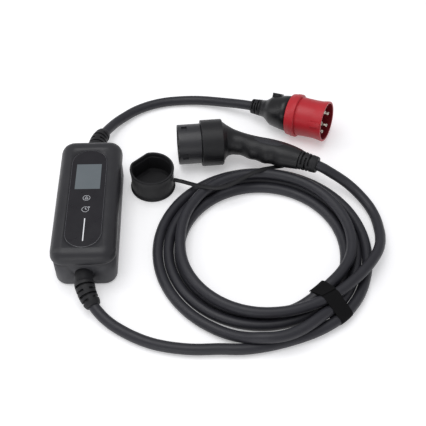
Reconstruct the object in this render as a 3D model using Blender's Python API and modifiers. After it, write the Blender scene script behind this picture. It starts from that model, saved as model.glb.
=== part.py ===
# Portable charger for an electric car: a control box with a fascia, a short supply cable with a
# five-pin industrial plug, and a long coiled cable with a vehicle connector, its rubber cap on a
# tether and a hook-and-loop tie. Metres, +Z up. The origin is under the middle of the control box,
# which lies on its back, and +Y runs along the box towards the supply cable.
import math

import bmesh
import bpy
from mathutils import Matrix, Vector

# Clearance between pieces that touch
GAP = 0.0003

# Control box
BOX_WIDTH = 0.082
BOX_LENGTH = 0.202
BOX_HEIGHT = 0.061
BOX_CORNER = 0.018
SHELL_EDGE_HEIGHT = 0.045
SHELL_SHOULDER = 0.0145
SHELL_WALL = 0.0026
TUB_INSET = 0.0022
TUB_WALL = 0.0052
TUB_FLOOR = 0.003
TUB_EDGE_ROUND = 0.004
SEAL_WIDTH = 0.0022
SEAL_HEIGHT = 0.0020
FASCIA_SIDE_MARGIN = 0.018
FASCIA_END_MARGIN = 0.0193
FASCIA_OFF_MIDDLE = -0.0042
FASCIA_THICKNESS = 0.0016
FASCIA_PROUD = 0.0003
DISPLAY_SIDE_MARGIN = 0.0068
DISPLAY_LENGTH = 0.0435
DISPLAY_THICKNESS = 0.0010
DISPLAY_FROM_END = 0.02555
LIGHT_BAR_WIDTH = 0.0016
LIGHT_BAR_LENGTH = 0.036
LIGHT_BAR_FROM_END = 0.0094
CASE_SCREW_HEAD_RADIUS = 0.0028
CASE_SCREW_RADIUS = 0.0015
CASE_SCREW_SINK = 0.006
CASE_BOSS_RADIUS = 0.0044
CASE_BOSS_IN_FROM_SIDE = 0.0108
CASE_BOSS_IN_FROM_END = 0.0125
BOARD_THICKNESS = 0.0016
CONTROL_BOARD_DROP = 0.0050
POWER_BOARD_HEIGHT = 0.0078
CONTROL_BOARD_END_MARGINS = (0.043, 0.031)
POWER_BOARD_END_MARGIN = 0.031
BOARD_SIDE_CLEARANCE = 0.001
DISPLAY_MODULE_BORDER = 0.0012
SPACER_RADIUS = 0.0025
SPACER_IN_FROM_BOARD_END = 0.014
SPACER_FROM_MIDDLE = 0.016
RELAY_SIZE = (0.030, 0.024, 0.028)
BLOCKS_OFF_MIDDLE = 0.008
POWER_SUPPLY_SIZE = (0.030, 0.026, 0.020)
SENSOR_RADIUS = 0.0125
SENSOR_BORE = 0.0075
SENSOR_HEIGHT = 0.014

# Cables and their strain reliefs
CABLE_DIAMETER = 0.0138
BOOT_RADIUS = 0.0112
BOOT_COLLAR_RADIUS = 0.0126
BOOT_END_RADIUS = 0.0094
BOOT_GROOVE_DEPTH = 0.0018
BOOT_GROOVE_WIDTH = 0.0024
BOOT_ROOT_LENGTH = 0.009
SUPPLY_BOOT_ROUTE = [
    (0.0, 0.1006, 0.0240),
    (0.0004, 0.1180, 0.0240),
    (0.0030, 0.1360, 0.0224),
    (0.0088, 0.1520, 0.0192),
]
OUTLET_BOOT_ROUTE = [
    (0.0, -0.1006, 0.0240),
    (0.0014, -0.114, 0.0230),
    (0.0062, -0.128, 0.0192),
    (0.0135, -0.1405, 0.0146),
]
SUPPLY_ROUTE = [
    (0.0290, 0.1890, 0.0105),
    (0.0540, 0.2130, 0.0078),
    (0.0850, 0.2275, 0.0074),
    (0.1180, 0.2325, 0.0074),
    (0.1490, 0.2305, 0.0088),
    (0.1790, 0.2215, 0.0130),
]
OUTLET_ROUTE = [
    (0.0440, -0.1690, 0.0075),
    (0.0760, -0.1870, 0.0074),
    (0.1070, -0.1970, 0.0074),
    (0.1380, -0.2022, 0.0074),
    (0.1630, -0.2014, 0.0082),
    (0.1870, -0.1949, 0.0090),
]
LEAD_ROUTE = [
    (0.3375, 0.0500, 0.0255),
    (0.3520, 0.0400, 0.0190),
    (0.3645, 0.0270, 0.0135),
    (0.3745, 0.0080, 0.0098),
    (0.3800, -0.0180, 0.0095),
    (0.3788, -0.0410, 0.0115),
    (0.3750, -0.0650, 0.0150),
    (0.3670, -0.0850, 0.0202),
    (0.3545, -0.1030, 0.0238),
    (0.3390, -0.1185, 0.0246),
]
CABLE_POINT_SPACING = 0.032
CORD_STRAIGHT = 0.014
CORD_SQUARE = 0.005

# Coil of the charging cable: three lanes lie on the floor and the last turn lies on the inner lane
COIL_CENTRE = (0.2241, -0.0528)
COIL_INNER_RADIUS = 0.0995
COIL_LANES = 3
COIL_HEIGHT = 0.0292
COIL_LIFT = 0.0023
TIE_ANGLE = math.radians(-49.0)
TIE_WIDTH = 0.020
TIE_THICKNESS = 0.0016

# Industrial plug: its own +Z points out of its mouth
PLUG_RIM = (0.3272, 0.1508, 0.0369)
PLUG_HEADING = math.radians(-26.4)
PLUG_RISE = math.radians(7.2)
PLUG_ROLL = math.radians(153.0)
PLUG_SHROUD_RADIUS = 0.0288
PLUG_SHROUD_WALL = 0.0029
PLUG_SHROUD_WAIST = 0.0272
PLUG_SHROUD_DEPTH = 0.034
PLUG_FLANGE_RADIUS = 0.0308
PLUG_FLANGE_BACK = 0.0545
PLUG_FLANGE_FRONT = 0.0405
PLUG_BODY_RADIUS = 0.0262
PLUG_BODY_LENGTH = 0.031
PLUG_NECK_RADIUS = 0.0118
PLUG_BOOT_LENGTH = 0.0150
PLUG_LENGTH = 0.116
PLUG_KEY_WIDTH = 0.0072
PLUG_KEY_HEIGHT = 0.0016
PLUG_KEY_SET_BACK = 0.0030
PLUG_LUG = (0.0090, 0.0110, 0.0130)
PLUG_LUG_RADIUS = 0.0208
PLUG_LUG_ANGLE = math.radians(-13.0)
PLUG_PIN_CIRCLE = 0.0150
PLUG_PIN_RADIUS = 0.0025
PLUG_EARTH_PIN_RADIUS = 0.0032
PLUG_PIN_SET_BACK = 0.0040
PLUG_CARRIER_THICKNESS = 0.010

# Vehicle connector: its own +Z points out of its nose, and its handle bends towards its own +Y
NOSE_FACE = (0.1154, 0.1132, 0.0331)
NOSE_HEADING = math.radians(185.0)
NOSE_RISE = math.radians(0.8)
NOSE_ROLL = math.radians(6.0)
NOSE_RADIUS = 0.02775
NOSE_FLAT = 0.02495
NOSE_WALL = 0.0026
NOSE_LENGTH = 0.032
NOSE_DEPTH = 0.0265
NOSE_SLOT = (0.0050, 0.0075)
NOSE_SLOT_FROM_FACE = 0.0085
COLLAR_RADIUS = 0.0322
COLLAR_FLAT = 0.0298
COLLAR_LENGTH = 0.0300
COLLAR_EDGE = 0.0012
CARRIER_THICKNESS = 0.0045
POWER_TOWER_RADIUS = 0.0060
POWER_TOWER_BORE = 0.0040
SIGNAL_TOWER_RADIUS = 0.0040
SIGNAL_TOWER_BORE = 0.0022
TOWER_SET_BACK = 0.0015
CONTACT_SET_BACK = 0.0105
CONTACT_WALL = 0.0007
# Where each contact stands on the nose's face, as seen from outside with the key flat up
CONTACTS = {
    "earth": (0.0, 0.0010),
    "neutral": (-0.0158, 0.0010),
    "line_1": (0.0158, 0.0010),
    "line_2": (0.0086, -0.0137),
    "line_3": (-0.0086, -0.0137),
    "pilot": (0.0078, 0.0145),
    "proximity": (-0.0078, 0.0145),
}
# Along the handle: distance behind the nose's face, sideways bend, half width in the plane of the
# bend, half thickness across it
HANDLE_SECTIONS = [
    (0.0623, -0.0003, 0.0285, 0.0285),
    (0.0650, -0.0002, 0.0262, 0.0262),
    (0.0690, 0.0002, 0.0220, 0.0225),
    (0.0745, 0.0016, 0.0184, 0.0192),
    (0.0820, 0.0046, 0.0162, 0.0172),
    (0.0925, 0.0106, 0.0160, 0.0163),
    (0.1070, 0.0194, 0.0178, 0.0164),
    (0.1230, 0.0275, 0.0192, 0.0167),
    (0.1390, 0.0355, 0.0184, 0.0164),
    (0.1530, 0.0433, 0.0164, 0.0152),
    (0.1635, 0.0502, 0.0140, 0.0134),
]
HANDLE_BOOT_ROUTE = [(0.1640, 0.0505), (0.1745, 0.0573), (0.1852, 0.0642)]
HANDLE_BOOT_RADIUS = 0.0130
HANDLE_BOOT_END_RADIUS = 0.0112
GRIP_AT = (0.1235, 0.0262)
GRIP_LENGTH = 0.042
GRIP_WIDTH = 0.0135
GRIP_PROUD = 0.0004
GRIP_SINK = 0.0016
GRIP_TURN = math.radians(26.0)

# Rubber cap of the connector, standing open side up, and its tether
CAP_CENTRE = (0.0802, 0.0672)
CAP_RADIUS = 0.0300
CAP_FLAT = 0.0266
CAP_HEIGHT = 0.036
CAP_WALL = 0.0026
CAP_FLOOR = 0.003
CAP_FOOT = 0.0008
CAP_TURN = math.radians(132.0)
TETHER_WIDTH = 0.0070
TETHER_THICKNESS = 0.0022
TETHER_ROUTE = [
    (0.1094, 0.0610, 0.0185),
    (0.1215, 0.0562, 0.0195),
    (0.1360, 0.0470, 0.0235),
    (0.1510, 0.0375, 0.0290),
    (0.1680, 0.0330, 0.0312),
    (0.1850, 0.0380, 0.0314),
    (0.2040, 0.0505, 0.0312),
    (0.2240, 0.0640, 0.0290),
    (0.2420, 0.0750, 0.0195),
    (0.2600, 0.0840, 0.0170),
]

# Facets round each shape
ROUND_STEPS = 32
SMALL_STEPS = 12
COIL_STEPS = 48
HANDLE_POINTS = 16
BOOT_POINTS = 12
CORNER_STEPS = 5

BLACK_SATIN = ((0.030, 0.030, 0.034), 0.45, 0.0)
BLACK_GLOSS = ((0.020, 0.020, 0.023), 0.18, 0.0)
BLACK_RUBBER = ((0.024, 0.024, 0.026), 0.62, 0.0)
CABLE_RUBBER = ((0.040, 0.040, 0.047), 0.50, 0.0)
FABRIC_BLACK = ((0.010, 0.010, 0.011), 0.95, 0.0)
DISPLAY_GREY = ((0.155, 0.185, 0.195), 0.15, 0.0)
LIGHT_WHITE = ((0.85, 0.86, 0.88), 0.30, 0.0)
SIGNAL_RED = ((0.50, 0.018, 0.028), 0.38, 0.0)
DARK_RED = ((0.23, 0.006, 0.012), 0.45, 0.0)
NICKEL = ((0.72, 0.70, 0.65), 0.25, 1.0)
BRASS = ((0.66, 0.50, 0.25), 0.30, 1.0)
STEEL = ((0.55, 0.55, 0.56), 0.30, 1.0)
BOARD_GREEN = ((0.010, 0.105, 0.050), 0.50, 0.0)
RELAY_BLUE = ((0.020, 0.060, 0.240), 0.40, 0.0)
SEAL_GREY = ((0.090, 0.090, 0.095), 0.70, 0.0)

PARTS = "portable_ev_charger"
CUTTERS = "cutters"


def clear_scene():
    for obj in list(bpy.data.objects):
        bpy.data.objects.remove(obj, do_unlink=True)
    for name in (PARTS, CUTTERS):
        bpy.context.scene.collection.children.link(bpy.data.collections.new(name))


def material(name, look):
    colour, roughness, metallic = look
    made = bpy.data.materials.new(name)
    made.use_nodes = True
    shader = made.node_tree.nodes["Principled BSDF"]
    shader.inputs["Base Color"].default_value = (*colour, 1.0)
    shader.inputs["Roughness"].default_value = roughness
    shader.inputs["Metallic"].default_value = metallic
    made.diffuse_color = (*colour, 1.0)
    return made


def add_object(name, data, look, parent=None):
    """A new object in the model's collection, or among the cutters where it has no look."""
    obj = bpy.data.objects.new(name, data)
    bpy.data.collections[PARTS if look else CUTTERS].objects.link(obj)
    obj.parent = parent
    if look:
        data.materials.append(material(name, look))
    else:
        obj.hide_render = True
        obj.display_type = "WIRE"
    return obj


def mesh_from(bm, name, smooth_angle=35.0):
    bmesh.ops.recalc_face_normals(bm, faces=bm.faces)
    mesh = bpy.data.meshes.new(name)
    bm.to_mesh(mesh)
    bm.free()
    mesh.shade_smooth()
    mesh.set_sharp_from_angle(angle=math.radians(smooth_angle))
    return mesh


def empty(name, place, turn):
    obj = bpy.data.objects.new(name, None)
    bpy.data.collections[PARTS].objects.link(obj)
    obj.location = place
    obj.rotation_euler = turn.to_euler()
    return obj


def pointing(heading, rise, roll):
    """The turn that carries +Z to this heading and rise, rolled about itself first."""
    lean = Matrix.Rotation(math.pi / 2 - rise, 3, "Y")
    return Matrix.Rotation(heading, 3, "Z") @ lean @ Matrix.Rotation(roll, 3, "Z")


def rounded_outline(width, length, corner, steps=CORNER_STEPS):
    """Points round a rectangle with round corners, counterclockwise."""
    points = []
    for quarter, (sx, sy) in enumerate([(1, 1), (-1, 1), (-1, -1), (1, -1)]):
        cx = sx * (width / 2 - corner)
        cy = sy * (length / 2 - corner)
        for step in range(steps + 1):
            angle = (quarter + step / steps) * math.pi / 2
            points.append((cx + corner * math.cos(angle), cy + corner * math.sin(angle)))
    return points


def keyed_outline(radius, flat, steps=ROUND_STEPS):
    """A circle with a flat across its -Y side, counterclockwise."""
    angles = [2 * math.pi * (k + 0.5) / steps for k in range(steps)]
    return [(radius * math.cos(a), max(radius * math.sin(a), -flat)) for a in angles]


def prism(
    name, outline, low, high, look=None, parent=None, edge_round=0.0, edge_steps=1, rounded_end=None
):
    """A straight block on an outline. Its end at rounded_end, low or high, can be rounded."""
    bm = bmesh.new()
    base = bm.faces.new([bm.verts.new((x, y, low)) for x, y in outline])
    made = bmesh.ops.extrude_face_region(bm, geom=[base])
    lifted = [v for v in made["geom"] if isinstance(v, bmesh.types.BMVert)]
    bmesh.ops.translate(bm, verts=lifted, vec=(0, 0, high - low))
    if edge_round:
        level = high if rounded_end == "high" else low
        rim = [e for e in bm.edges if all(abs(v.co.z - level) < 1e-6 for v in e.verts)]
        bmesh.ops.bevel(
            bm,
            geom=rim,
            offset=edge_round,
            segments=edge_steps,
            profile=0.5,
            affect="EDGES",
            clamp_overlap=True,
        )
    return add_object(name, mesh_from(bm, name), look, parent)


def block(name, size, centre, look=None, parent=None):
    bm = bmesh.new()
    bmesh.ops.create_cube(bm, size=1.0)
    bmesh.ops.scale(bm, vec=size, verts=bm.verts)
    obj = add_object(name, mesh_from(bm, name), look, parent)
    obj.location = centre
    return obj


def cylinder(name, radius, length, centre, look=None, parent=None, steps=SMALL_STEPS, turn=(0, 0, 0)):
    bm = bmesh.new()
    bmesh.ops.create_cone(
        bm, cap_ends=True, segments=steps, radius1=radius, radius2=radius, depth=length
    )
    obj = add_object(name, mesh_from(bm, name), look, parent)
    obj.location = centre
    obj.rotation_euler = turn
    return obj


def turned(name, profile, look=None, parent=None, steps=ROUND_STEPS):
    """A profile of (radius, height) turned about Z. One that starts off the axis closes on itself."""
    ring = profile[0][0] > 0
    count = len(profile)
    edges = [(k, k + 1) for k in range(count - 1)]
    if ring:
        edges.append((count - 1, 0))
    mesh = bpy.data.meshes.new(name)
    mesh.from_pydata([(r, 0.0, z) for r, z in profile], edges, [])
    obj = add_object(name, mesh, look, parent)
    screw = obj.modifiers.new("Turn", "SCREW")
    screw.steps = steps
    screw.render_steps = steps
    screw.use_merge_vertices = True
    screw.merge_threshold = 0.00001
    screw.use_smooth_shade = True
    return obj


def cut(obj, *cutters, operation="DIFFERENCE"):
    for cutter in cutters:
        boolean = obj.modifiers.new(f"{operation.title()} {cutter.name}", "BOOLEAN")
        boolean.operation = operation
        boolean.object = cutter
    return obj


def loft(name, rings, look=None, parent=None):
    """A closed skin over rings of equally many points."""
    bm = bmesh.new()
    loops = [[bm.verts.new(point) for point in ring] for ring in rings]
    count = len(rings[0])
    for first, second in zip(loops, loops[1:]):
        for k in range(count):
            after = (k + 1) % count
            bm.faces.new((first[k], first[after], second[after], second[k]))
    bm.faces.new(list(reversed(loops[0])))
    bm.faces.new(loops[-1])
    return add_object(name, mesh_from(bm, name), look, parent)


def smooth_route(points, spacing):
    """Evenly spaced points on a smooth curve through a route's own points."""
    ends = [2 * points[0] - points[1]] + points + [2 * points[-1] - points[-2]]
    fine = []
    for a, b, c, d in zip(ends, ends[1:], ends[2:], ends[3:]):
        for step in range(24):
            t = step / 24
            fine.append(
                0.5 * (2 * b + (c - a) * t + (2 * a - 5 * b + 4 * c - d) * t**2)
                + 0.5 * (3 * b - a - 3 * c + d) * t**3
            )
    fine.append(points[-1])
    along = [0.0]
    for a, b in zip(fine, fine[1:]):
        along.append(along[-1] + (b - a).length)
    count = max(2, round(along[-1] / spacing))
    route = []
    at = 0
    for k in range(count + 1):
        want = along[-1] * k / count
        while at < len(fine) - 2 and along[at + 1] < want:
            at += 1
        share = (want - along[at]) / max(along[at + 1] - along[at], 1e-9)
        route.append(fine[at].lerp(fine[at + 1], min(share, 1.0)))
    return route


def vectors(points):
    return [Vector(p) for p in points]


def frames_along(route):
    """Each point of a route with its own forward, sideways and upward directions."""
    found = []
    for k, point in enumerate(route):
        forward = (route[min(k + 1, len(route) - 1)] - route[max(k - 1, 0)]).normalized()
        side = forward.cross(Vector((0, 0, 1))).normalized()
        found.append((point, forward, side, side.cross(forward)))
    return found


def round_ring(frame, radius, points, groove=0.0, ribs=()):
    """A ring round a route, sunk by groove except over the ribs."""
    centre, _, side, up = frame
    ring = []
    for k in range(points):
        angle = 2 * math.pi * k / points
        reach = radius if k in ribs else radius - groove
        ring.append(centre + side * (reach * math.cos(angle)) + up * (reach * math.sin(angle)))
    return ring


def cord(name, points, parent=None):
    """A cable as a plain tube. Its ends are square to its neighbours, which it meets face to face."""
    route = smooth_route(points, CABLE_POINT_SPACING)
    first = (points[1] - points[0]).normalized()
    last = (points[-2] - points[-1]).normalized()
    route[:1] = [points[0] + first * GAP, points[0] + first * CORD_SQUARE]
    route[-1:] = [points[-1] + last * CORD_SQUARE, points[-1] + last * GAP]
    curve = bpy.data.curves.new(name, "CURVE")
    curve.dimensions = "3D"
    curve.bevel_depth = CABLE_DIAMETER / 2
    curve.bevel_resolution = 2
    curve.use_fill_caps = True
    spline = curve.splines.new("POLY")
    spline.points.add(len(route) - 1)
    for spot, place in zip(spline.points, route):
        spot.co = (*place, 1.0)
    return add_object(name, curve, CABLE_RUBBER, parent)


def boot(name, points, radii, grooves, look, parent=None, root=None):
    """A strain relief with slots that leave ribs on alternate sides, by share of its length."""
    route = smooth_route(vectors(points), 0.001)
    total = len(route) - 1
    stations = {0.0, 1.0, *[share for share, _ in radii]}
    length = sum((b - a).length for a, b in zip(route, route[1:]))
    half = BOOT_GROOVE_WIDTH / length / 2
    for middle in grooves:
        stations |= {middle - half, middle - half + 0.006, middle + half - 0.006, middle + half}
    frames = frames_along(route)
    rings = []
    for share in sorted(stations):
        frame = frames[round(share * total)]
        radius = between(radii, share)
        sunk = [k for k, middle in enumerate(grooves) if abs(share - middle) < half - 0.003]
        ribs = ()
        if sunk:
            turn = BOOT_POINTS // 4 * (sunk[0] % 2)
            ribs = tuple((k + turn) % BOOT_POINTS for k in (0, 1, BOOT_POINTS // 2, BOOT_POINTS // 2 + 1))
        centre = route[0].lerp(route[-1], share) if total < 2 else along(route, share)
        exact = (centre, *frame[1:])
        rings.append(round_ring(exact, radius, BOOT_POINTS, BOOT_GROOVE_DEPTH if sunk else 0.0, ribs))
    return loft(name, rings, look, parent)


def along(route, share):
    place = share * (len(route) - 1)
    low = min(int(place), len(route) - 2)
    return route[low].lerp(route[low + 1], place - low)


def between(table, share):
    """A value read from (share, value) pairs, straight between them."""
    for (a, first), (b, second) in zip(table, table[1:]):
        if share <= b:
            return first + (second - first) * (share - a) / max(b - a, 1e-9)
    return table[-1][1]


# Control box: the shells, what shows on the fascia, and what they enclose


def boss_places():
    x = BOX_WIDTH / 2 - TUB_INSET - CASE_BOSS_IN_FROM_SIDE
    y = BOX_LENGTH / 2 - TUB_INSET - CASE_BOSS_IN_FROM_END
    return [(sx * x, sy * y) for sx in (1, -1) for sy in (1, -1)]


def tub_outline(inset):
    corner = BOX_CORNER - TUB_INSET - inset
    return rounded_outline(
        BOX_WIDTH - 2 * (TUB_INSET + inset), BOX_LENGTH - 2 * (TUB_INSET + inset), max(corner, 0.004)
    )


def build_lower_shell():
    top = SHELL_EDGE_HEIGHT - GAP
    tub = prism("lower_shell", tub_outline(0.0), 0.0, top, BLACK_SATIN, None, TUB_EDGE_ROUND, 2, "low")
    hollow = prism("lower_shell_hollow", tub_outline(TUB_WALL), TUB_FLOOR, top + 0.01)
    cut(tub, hollow)
    # The bosses that take the case screws stand up from the floor of the tub
    for k, (x, y) in enumerate(boss_places()):
        height = top - GAP - TUB_FLOOR / 2
        boss = cylinder(f"boss_{k}", CASE_BOSS_RADIUS, height, (x, y, TUB_FLOOR / 2 + height / 2))
        cut(tub, boss, operation="UNION")
    for k, (x, y) in enumerate(boss_places()):
        sink = cylinder(f"screw_sink_{k}", CASE_SCREW_HEAD_RADIUS + GAP, 2 * CASE_SCREW_SINK, (x, y, 0.0))
        bore = cylinder(f"screw_bore_{k}", CASE_SCREW_RADIUS + GAP, 0.2, (x, y, 0.0), steps=8)
        cut(tub, sink, bore)
    # The seal lies in a groove in the rim
    middle = TUB_WALL / 2
    seat = tub_outline(middle - SEAL_WIDTH / 2)
    outer = prism("seal_groove_outer", seat, top - SEAL_HEIGHT, top + 0.01)
    inner = prism("seal_groove_inner", tub_outline(middle + SEAL_WIDTH / 2), top - 0.02, top + 0.02)
    cut(outer, inner)
    cut(tub, outer)
    for name, points in (("supply_hole", SUPPLY_BOOT_ROUTE), ("outlet_hole", OUTLET_BOOT_ROUTE)):
        x, y, z = points[0]
        across = (math.pi / 2, 0, 0)
        hole = cylinder(name, BOOT_RADIUS + GAP, 4 * TUB_WALL, (x, y, z), steps=24, turn=across)
        cut(tub, hole)
    return tub


def build_seal():
    low = SHELL_EDGE_HEIGHT - GAP - SEAL_HEIGHT + GAP
    middle = TUB_WALL / 2
    half = SEAL_WIDTH / 2 - GAP
    seal = prism("shell_seal", tub_outline(middle - half), low, SHELL_EDGE_HEIGHT - GAP, SEAL_GREY)
    hollow = prism("shell_seal_hollow", tub_outline(middle + half), low - 0.01, low + 0.01)
    return cut(seal, hollow)


def build_upper_shell():
    shell = prism(
        "upper_shell",
        rounded_outline(BOX_WIDTH, BOX_LENGTH, BOX_CORNER),
        SHELL_EDGE_HEIGHT,
        BOX_HEIGHT,
        BLACK_SATIN,
        None,
        SHELL_SHOULDER,
        5,
        "high",
    )
    inset = TUB_INSET + TUB_WALL
    inner = rounded_outline(BOX_WIDTH - 2 * inset, BOX_LENGTH - 2 * inset, BOX_CORNER - inset)
    depth = BOX_HEIGHT - SHELL_WALL - FASCIA_THICKNESS
    low = SHELL_EDGE_HEIGHT - 0.01
    hollow = prism("upper_shell_hollow", inner, low, depth, None, None, 0.006, 2, "high")
    width, length = fascia_size()
    sunk = fascia_outline(width / 2 + GAP, length + 2 * GAP)
    seat = BOX_HEIGHT + FASCIA_PROUD - FASCIA_THICKNESS - GAP
    recess = prism("fascia_recess", sunk, seat, BOX_HEIGHT + 0.01)
    cut(shell, hollow, recess)
    # Each screw is driven into a post that hangs from the roof
    for k, (x, y) in enumerate(boss_places()):
        height = depth - SHELL_EDGE_HEIGHT
        middle = (x, y, SHELL_EDGE_HEIGHT + height / 2)
        post = cylinder(f"post_{k}", CASE_BOSS_RADIUS - 0.0006, height, middle)
        cut(shell, post, operation="UNION")
        pilot = cylinder(
            f"pilot_{k}", CASE_SCREW_RADIUS + GAP, 0.016, (x, y, SHELL_EDGE_HEIGHT), steps=8
        )
        cut(shell, pilot)
    return shell


def fascia_outline(radius, length, steps=12):
    """A strip with round ends, set off the box's middle."""
    points = []
    for end in (1, -1):
        for step in range(steps + 1):
            angle = math.pi * step / steps + (0 if end > 0 else math.pi)
            side = end * (length / 2 - radius) + FASCIA_OFF_MIDDLE
            points.append((radius * math.cos(angle), side + radius * math.sin(angle)))
    return points


def fascia_size():
    return BOX_WIDTH - 2 * FASCIA_SIDE_MARGIN, BOX_LENGTH - 2 * FASCIA_END_MARGIN


def display_width():
    return fascia_size()[0] - 2 * DISPLAY_SIDE_MARGIN


def display_middle():
    far_end = FASCIA_OFF_MIDDLE + fascia_size()[1] / 2
    return far_end - DISPLAY_FROM_END - DISPLAY_LENGTH / 2


def build_fascia():
    top = BOX_HEIGHT + FASCIA_PROUD
    low = top - FASCIA_THICKNESS
    width, length = fascia_size()
    panel = prism("fascia_panel", fascia_outline(width / 2, length), low, top, BLACK_GLOSS)
    display_y = display_middle()
    bar_y = FASCIA_OFF_MIDDLE - length / 2 + LIGHT_BAR_FROM_END + LIGHT_BAR_LENGTH / 2
    for name, width, length, y, look in (
        ("display_window", display_width(), DISPLAY_LENGTH, display_y, DISPLAY_GREY),
        ("light_bar", LIGHT_BAR_WIDTH, LIGHT_BAR_LENGTH, bar_y, LIGHT_WHITE),
    ):
        floor = top - DISPLAY_THICKNESS - GAP
        pocket = block(
            f"{name}_pocket", (width + 2 * GAP, length + 2 * GAP, 0.01), (0, y, floor + 0.005)
        )
        cut(panel, pocket)
        block(name, (width, length, DISPLAY_THICKNESS), (0, y, top - DISPLAY_THICKNESS / 2), look)


def build_electronics():
    roof = BOX_HEIGHT - SHELL_WALL - FASCIA_THICKNESS
    bosses = TUB_INSET + CASE_BOSS_IN_FROM_SIDE + CASE_BOSS_RADIUS
    clear = BOX_WIDTH - 2 * (bosses + BOARD_SIDE_CLEARANCE)
    board_z = roof - CONTROL_BOARD_DROP
    near, far = CONTROL_BOARD_END_MARGINS
    size = (clear, BOX_LENGTH - near - far, BOARD_THICKNESS)
    block("control_board", size, (0, (near - far) / 2, board_z), BOARD_GREEN)
    # The display module stands on the control board and reaches the roof under the fascia
    module = roof - board_z - BOARD_THICKNESS / 2 - 2 * GAP
    border = 2 * DISPLAY_MODULE_BORDER
    size = (display_width() + border, DISPLAY_LENGTH + border, module)
    block("display_module", size, (0, display_middle(), roof - GAP - module / 2), BLACK_GLOSS)
    low = POWER_BOARD_HEIGHT
    board = BOX_LENGTH - 2 * POWER_BOARD_END_MARGIN
    height = low - BOARD_THICKNESS / 2 - TUB_FLOOR - 2 * GAP
    for k, (side, end) in enumerate(((1, -1), (-1, -1), (1, 1), (-1, 1))):
        x = side * SPACER_FROM_MIDDLE
        y = end * (board / 2 - SPACER_IN_FROM_BOARD_END)
        middle = (x, y, TUB_FLOOR + GAP + height / 2)
        cylinder(f"board_spacer_{k + 1}", SPACER_RADIUS, height, middle, NICKEL, steps=8)
    block("power_board", (clear, board, BOARD_THICKNESS), (0, 0.0, low), BOARD_GREEN)
    top = low + BOARD_THICKNESS / 2 + GAP
    # What stands on the power board shares out the board's spare length
    lengths = [2 * SENSOR_RADIUS, RELAY_SIZE[1], RELAY_SIZE[1], POWER_SUPPLY_SIZE[1]]
    spare = (board - sum(lengths)) / (len(lengths) + 1)
    middles = []
    start = -board / 2
    for length in lengths:
        middles.append(start + spare + length / 2)
        start += spare + length
    ring = [
        (SENSOR_RADIUS, SENSOR_HEIGHT),
        (SENSOR_RADIUS, 0.0),
        (SENSOR_BORE, 0.0),
        (SENSOR_BORE, SENSOR_HEIGHT),
    ]
    sensor = turned("leakage_sensor", ring, SEAL_GREY, None, 20)
    sensor.location = (0.0, middles[0], top)
    for k, y in enumerate(middles[1:3]):
        place = (BLOCKS_OFF_MIDDLE, y, top + RELAY_SIZE[2] / 2)
        block(f"relay_{k + 1}", RELAY_SIZE, place, RELAY_BLUE)
    place = (BLOCKS_OFF_MIDDLE, middles[3], top + POWER_SUPPLY_SIZE[2] / 2)
    block("power_supply", POWER_SUPPLY_SIZE, place, BLACK_SATIN)


def build_case_screws():
    length = SHELL_EDGE_HEIGHT + 0.005 - CASE_SCREW_SINK
    for k, (x, y) in enumerate(boss_places()):
        profile = [
            (0.0, length),
            (CASE_SCREW_RADIUS, length),
            (CASE_SCREW_RADIUS, 0.0),
            (CASE_SCREW_HEAD_RADIUS, 0.0),
            (CASE_SCREW_HEAD_RADIUS, -0.0022),
            (0.0, -0.0022),
        ]
        screw = turned(f"case_screw_{k + 1}", profile, STEEL, None, 8)
        screw.location = (x, y, CASE_SCREW_SINK - GAP)


def build_box_boots():
    radii = [
        (0.0, BOOT_RADIUS),
        (0.36, BOOT_RADIUS),
        (0.40, BOOT_COLLAR_RADIUS),
        (0.92, BOOT_END_RADIUS + 0.0008),
        (1.0, BOOT_END_RADIUS - 0.0006),
    ]
    for name, points in (("supply_boot", SUPPLY_BOOT_ROUTE), ("outlet_boot", OUTLET_BOOT_ROUTE)):
        inward = 1 if points[0][1] < 0 else -1
        x, y, z = points[0]
        rooted = [(x, y + inward * BOOT_ROOT_LENGTH, z)] + points
        boot(name, rooted, radii, (0.52, 0.66, 0.80), BLACK_RUBBER)


# Cables


def build_cords():
    plug_end = plug_place((0, 0, -PLUG_LENGTH))
    into_plug = plug_turn() @ Vector((0, 0, -CORD_STRAIGHT))
    supply = out_of(vectors(SUPPLY_BOOT_ROUTE)) + vectors(SUPPLY_ROUTE) + [plug_end + into_plug, plug_end]
    cord("supply_cable", supply)
    cord("outlet_cable", out_of(vectors(OUTLET_BOOT_ROUTE)) + vectors(OUTLET_ROUTE))
    handle_boot = [connector_place((0.0, *reversed_pair(pair))) for pair in HANDLE_BOOT_ROUTE]
    cord("connector_lead", out_of(handle_boot) + vectors(LEAD_ROUTE))


def out_of(route):
    """The end of a strain relief's route, and a point straight out of it."""
    return [route[-1], route[-1] + (route[-1] - route[-2]).normalized() * CORD_STRAIGHT]


def reversed_pair(pair):
    """A handle route's (distance behind the face, bend) as the connector's own y and z."""
    return pair[1], -pair[0]


def coil_profile():
    """The coil's outline across its turns: round outer lane, flat middle, raised inner lane."""
    lane = CABLE_DIAMETER
    outer = COIL_INNER_RADIUS + COIL_LANES * lane
    low = COIL_LIFT
    flat = low + lane
    inner_top = COIL_INNER_RADIUS + lane / 2
    return [
        (inner_top, COIL_HEIGHT),
        (inner_top + lane * 0.42, COIL_HEIGHT - lane * 0.26),
        (inner_top + lane * 0.48, flat),
        (outer - lane / 2, flat),
        (outer - lane * 0.12, flat - lane * 0.16),
        (outer, flat - lane / 2),
        (outer - lane * 0.12, low + lane * 0.16),
        (outer - lane / 2, low),
        (COIL_INNER_RADIUS + lane / 2, low),
        (COIL_INNER_RADIUS, low + lane / 2),
        (COIL_INNER_RADIUS, COIL_HEIGHT - lane / 2),
    ]


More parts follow.
